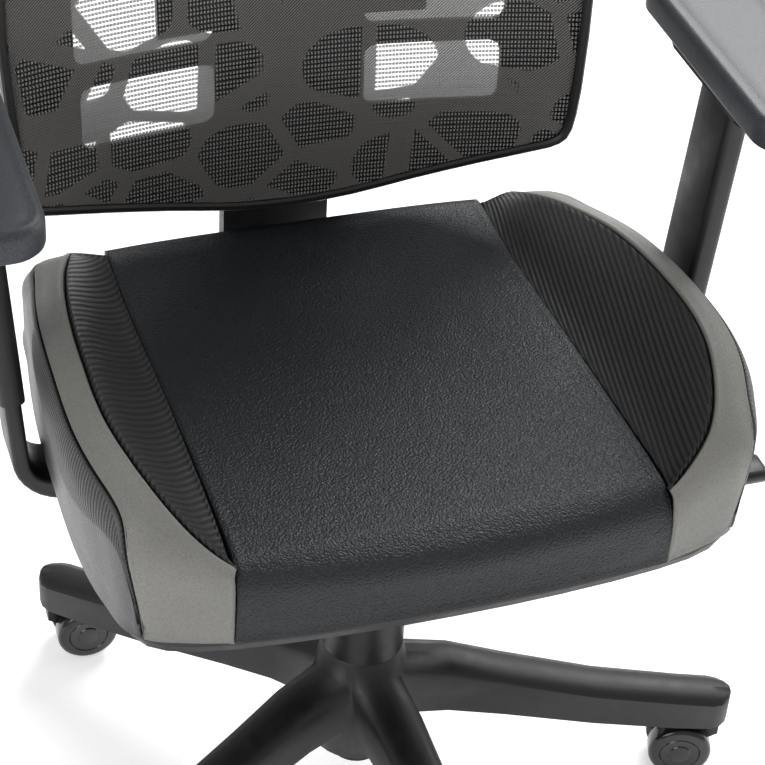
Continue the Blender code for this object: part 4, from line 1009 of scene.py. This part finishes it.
# %% Caster wheels
WHEEL_RADIUS, WHEEL_DEPTH = 0.0299, 0.0186
bpy.ops.object.select_all(action="DESELECT")
bpy.ops.mesh.primitive_cylinder_add(vertices=64, radius=WHEEL_RADIUS, depth=WHEEL_DEPTH)
wheel = bpy.context.object
bevel_edges(wheel, lambda a, b: min(a.z, b.z) > 0.008, 0.0052, 6)
bevel_edges(wheel, lambda a, b: max(a.z, b.z) < -0.008, 0.0012, 2)
inset_faces(wheel, lambda f: f.normal.z > 0.99 and f.calc_area() > 0.0008,
            ((0.0050, 0.0003), (0.0008, -0.0008), (0.0008, 0.0008), (0.0060, -0.0008),
             (0.0015, 0.0), (0.0010, 0.0012), (0.0025, 0.0004)))
smooth_below(wheel, 40.0)
for i in range(1, 6):
    middles = {}
    for letter in "ab":
        low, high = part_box(f"caster_wheel_{i}_{letter}")
        middles[letter] = (low + high) / 2.0
    for letter, other in ("ab", "ba"):
        axis = (middles[letter] - middles[other]).normalized()
        disc = bpy.data.objects.new(f"wheel_disc_{i}_{letter}", wheel.data.copy())
        bpy.context.scene.collection.objects.link(disc)
        facing = axis.to_track_quat("Z", "Y").to_matrix().to_4x4()
        disc.data.transform(Matrix.Translation(middles[letter]) @ facing)
        paint(disc, finishes["wheel_nylon"])
        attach(disc, f"wheels_{i}")
        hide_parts(f"caster_wheel_{i}_{letter}")
bpy.data.objects.remove(wheel)
print("wheels made: 10")

# %% [markdown]
# ## Smooth castings
# Engineering meshes are cut into flat facets. Where a moulding is round, a copy with its corners
# welded can be shaded smoothly up to an angle, so its arches catch the light as one surface while
# its real edges stay crisp.

# %% Smoothly shaded copies of round mouldings
node_slot = {part["node"]: part["material_slot"] for part in record["subparts"]}
node_body = {node: body for body, nodes in record["behaviour"]["bodies"].items() for node in nodes}


def smooth_copy(node, angle):
    """A welded, smoothly shaded copy of a CAD node that stands for it."""
    copy = bpy.data.objects.new(f"{node}_smooth", frame["nodes"][node].data.copy())
    bpy.context.scene.collection.objects.link(copy)
    weld = bmesh.new()
    weld.from_mesh(copy.data)
    bmesh.ops.remove_doubles(weld, verts=weld.verts, dist=0.00002)
    bmesh.ops.dissolve_limit(weld, angle_limit=radians(1.0), verts=weld.verts, edges=weld.edges)
    weld.to_mesh(copy.data)
    weld.free()
    smooth_below(copy, angle)
    paint(copy, finishes[node_slot[node]])
    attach(copy, node_body[node])
    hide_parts(node)


smooth_copy("base_star", 42.0)
for node in ("back_frame", "seat_shell", "headrest_shell", "tension_knob", "gas_tube", "back_bar",
             "back_spine", "arm_bracket_left", "arm_bracket_right", "arm_sleeve_left", "arm_sleeve_right",
             "column_cover_lower", "column_cover_middle", "column_cover_upper", "height_lever", "tilt_lever"):
    smooth_copy(node, 35.0)
for i in range(1, 6):
    smooth_copy(f"caster_body_{i}", 35.0)

# %% [markdown]
# ## Screws
# The arms, the back bar and the seat plate are held by button-head screws. One head is a cylinder
# with a bevelled rim and a round recess pushed into its top.

# %% Screws
HEAD_RADIUS, HEAD_DEPTH = 0.0058, 0.0032
HEAD_MIDDLE = 0.0017                       # from the surface to the middle of the head
bpy.ops.object.select_all(action="DESELECT")
bpy.ops.mesh.primitive_cylinder_add(vertices=24, radius=HEAD_RADIUS, depth=HEAD_DEPTH)
head = bpy.context.object
bevel_edges(head, lambda a, b: min(a.z, b.z) > 0.001, 0.0016, 4)
inset_faces(head, lambda f: f.normal.z > 0.99 and f.calc_area() > 0.00002,
            ((0.0018, 0.0), (0.0002, -0.0018)))
smooth_below(head, 35.0)
screw_steel = moulded("black screw steel", 0.03, 0.34, 0.0006, 0.00002, Metallic=0.9)


def screw(name, where, facing, body):
    """A screw head whose underside sits at a point, facing a direction."""
    turn = Vector(facing).to_track_quat("Z", "Y").to_matrix().to_4x4()
    placed = bpy.data.objects.new(name, head.data.copy())
    bpy.context.scene.collection.objects.link(placed)
    middle = Vector(where) + Vector(facing).normalized() * HEAD_MIDDLE
    placed.data.transform(Matrix.Translation(middle) @ turn)
    paint(placed, screw_steel)
    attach(placed, body)


bar_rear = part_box("back_bar")[1].y
for i, (x, z) in enumerate(((-0.024, 0.515), (0.024, 0.515), (-0.024, 0.570), (0.024, 0.570)), start=1):
    screw(f"screw_bar_{i}", (x, bar_rear, z), (0, 1, 0), "backrest")
plate_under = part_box("seat_plate")[1].z - 0.004          # its flange is 4 mm thick
for i, (x, y) in enumerate(((-0.092, -0.112), (0.092, -0.112), (-0.092, 0.108), (0.092, 0.108)), start=1):
    screw(f"screw_plate_{i}", (x, y, plate_under), (0, 0, -1), "seat")
for way, label in SIDES:
    low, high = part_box(f"arm_bracket_{label}")
    for i, x in enumerate((0.135, 0.165), start=1):
        for j, y in enumerate((low.y + 0.013, high.y - 0.013), start=1):
            screw(f"screw_arm_{label}_{i}{j}", (way * x, y, low.z), (0, 0, -1), "seat")
bpy.data.objects.remove(head)

# %% [markdown]
# ## Studio
# A wide, flat, pale floor that glows a little, so that it stays near white; one large soft light from
# the rear right, which puts the sheen on the leather; a weaker one from the front left; a small one
# from the right for the edges; and an even surround.

# %% Floor and lights
def floor_finish():
    """Plain pale floor."""
    material, _, shader = start_finish("pale floor", 0.55)
    shader.inputs["Base Color"].default_value = (0.90, 0.90, 0.90, 1.0)
    shader.inputs["Emission Color"].default_value = (1.0, 1.0, 1.0, 1.0)
    shader.inputs["Emission Strength"].default_value = 0.45
    return material


bpy.ops.object.select_all(action="DESELECT")
bpy.ops.mesh.primitive_plane_add(size=60.0, location=(0.0, 0.0, -0.0005))
floor = bpy.context.object
floor.name = "floor"
paint(floor, floor_finish())


def area_light(name, place_at, aim, size, power):
    """A square soft light that faces a point."""
    light = bpy.data.lights.new(name, "AREA")
    light.size = size
    light.energy = power
    lamp = bpy.data.objects.new(name, light)
    lamp.location = place_at
    lamp.rotation_mode = "QUATERNION"
    lamp.rotation_quaternion = (Vector(aim) - Vector(place_at)).to_track_quat("-Z", "Y")
    bpy.context.scene.collection.objects.link(lamp)


SEAT_MIDDLE = (0.0, 0.0, 0.45)
area_light("key", (1.5, 1.9, 2.7), SEAT_MIDDLE, 1.8, 90.0)
area_light("fill", (-2.2, -1.4, 1.9), SEAT_MIDDLE, 1.6, 24.0)
area_light("edge", (2.4, 0.2, 1.5), SEAT_MIDDLE, 1.2, 14.0)
world = bpy.data.worlds.new("surround")
bpy.context.scene.world = world
world.use_nodes = True
sky = world.node_tree.nodes["Background"]
sky.inputs["Color"].default_value = (1.0, 1.0, 1.0, 1.0)
sky.inputs["Strength"].default_value = 0.45

# %% [markdown]
# ## Camera
# A long lens looks down at the seat from the front and a little to one side, tipped slightly. The
# Standard view keeps the blacks deep and the floor white.

# %% Camera
TARGET = Vector((0.0005, -0.0056, 0.485))
DISTANCE, AZIMUTH, ELEVATION, ROLL = 1.930, -20.384, 38.5, 3.894
lens = bpy.data.cameras.new("camera")
lens.lens = 110.6
lens.sensor_width = 36.0
lens.clip_start, lens.clip_end = 0.05, 50.0
camera = bpy.data.objects.new("camera", lens)
bpy.context.scene.collection.objects.link(camera)
a, e = radians(AZIMUTH), radians(ELEVATION)
back = Vector((sin(a) * cos(e), -cos(a) * cos(e), sin(e)))
camera.location = TARGET + back * DISTANCE
turn = (-back).to_track_quat("-Z", "Y").to_matrix().to_4x4() @ Matrix.Rotation(radians(ROLL), 4, "Z")
camera.rotation_mode = "QUATERNION"
camera.rotation_quaternion = turn.to_quaternion()
bpy.context.scene.camera = camera
bpy.context.scene.view_settings.view_transform = "Standard"
print("camera at", tuple(round(c, 3) for c in camera.location))
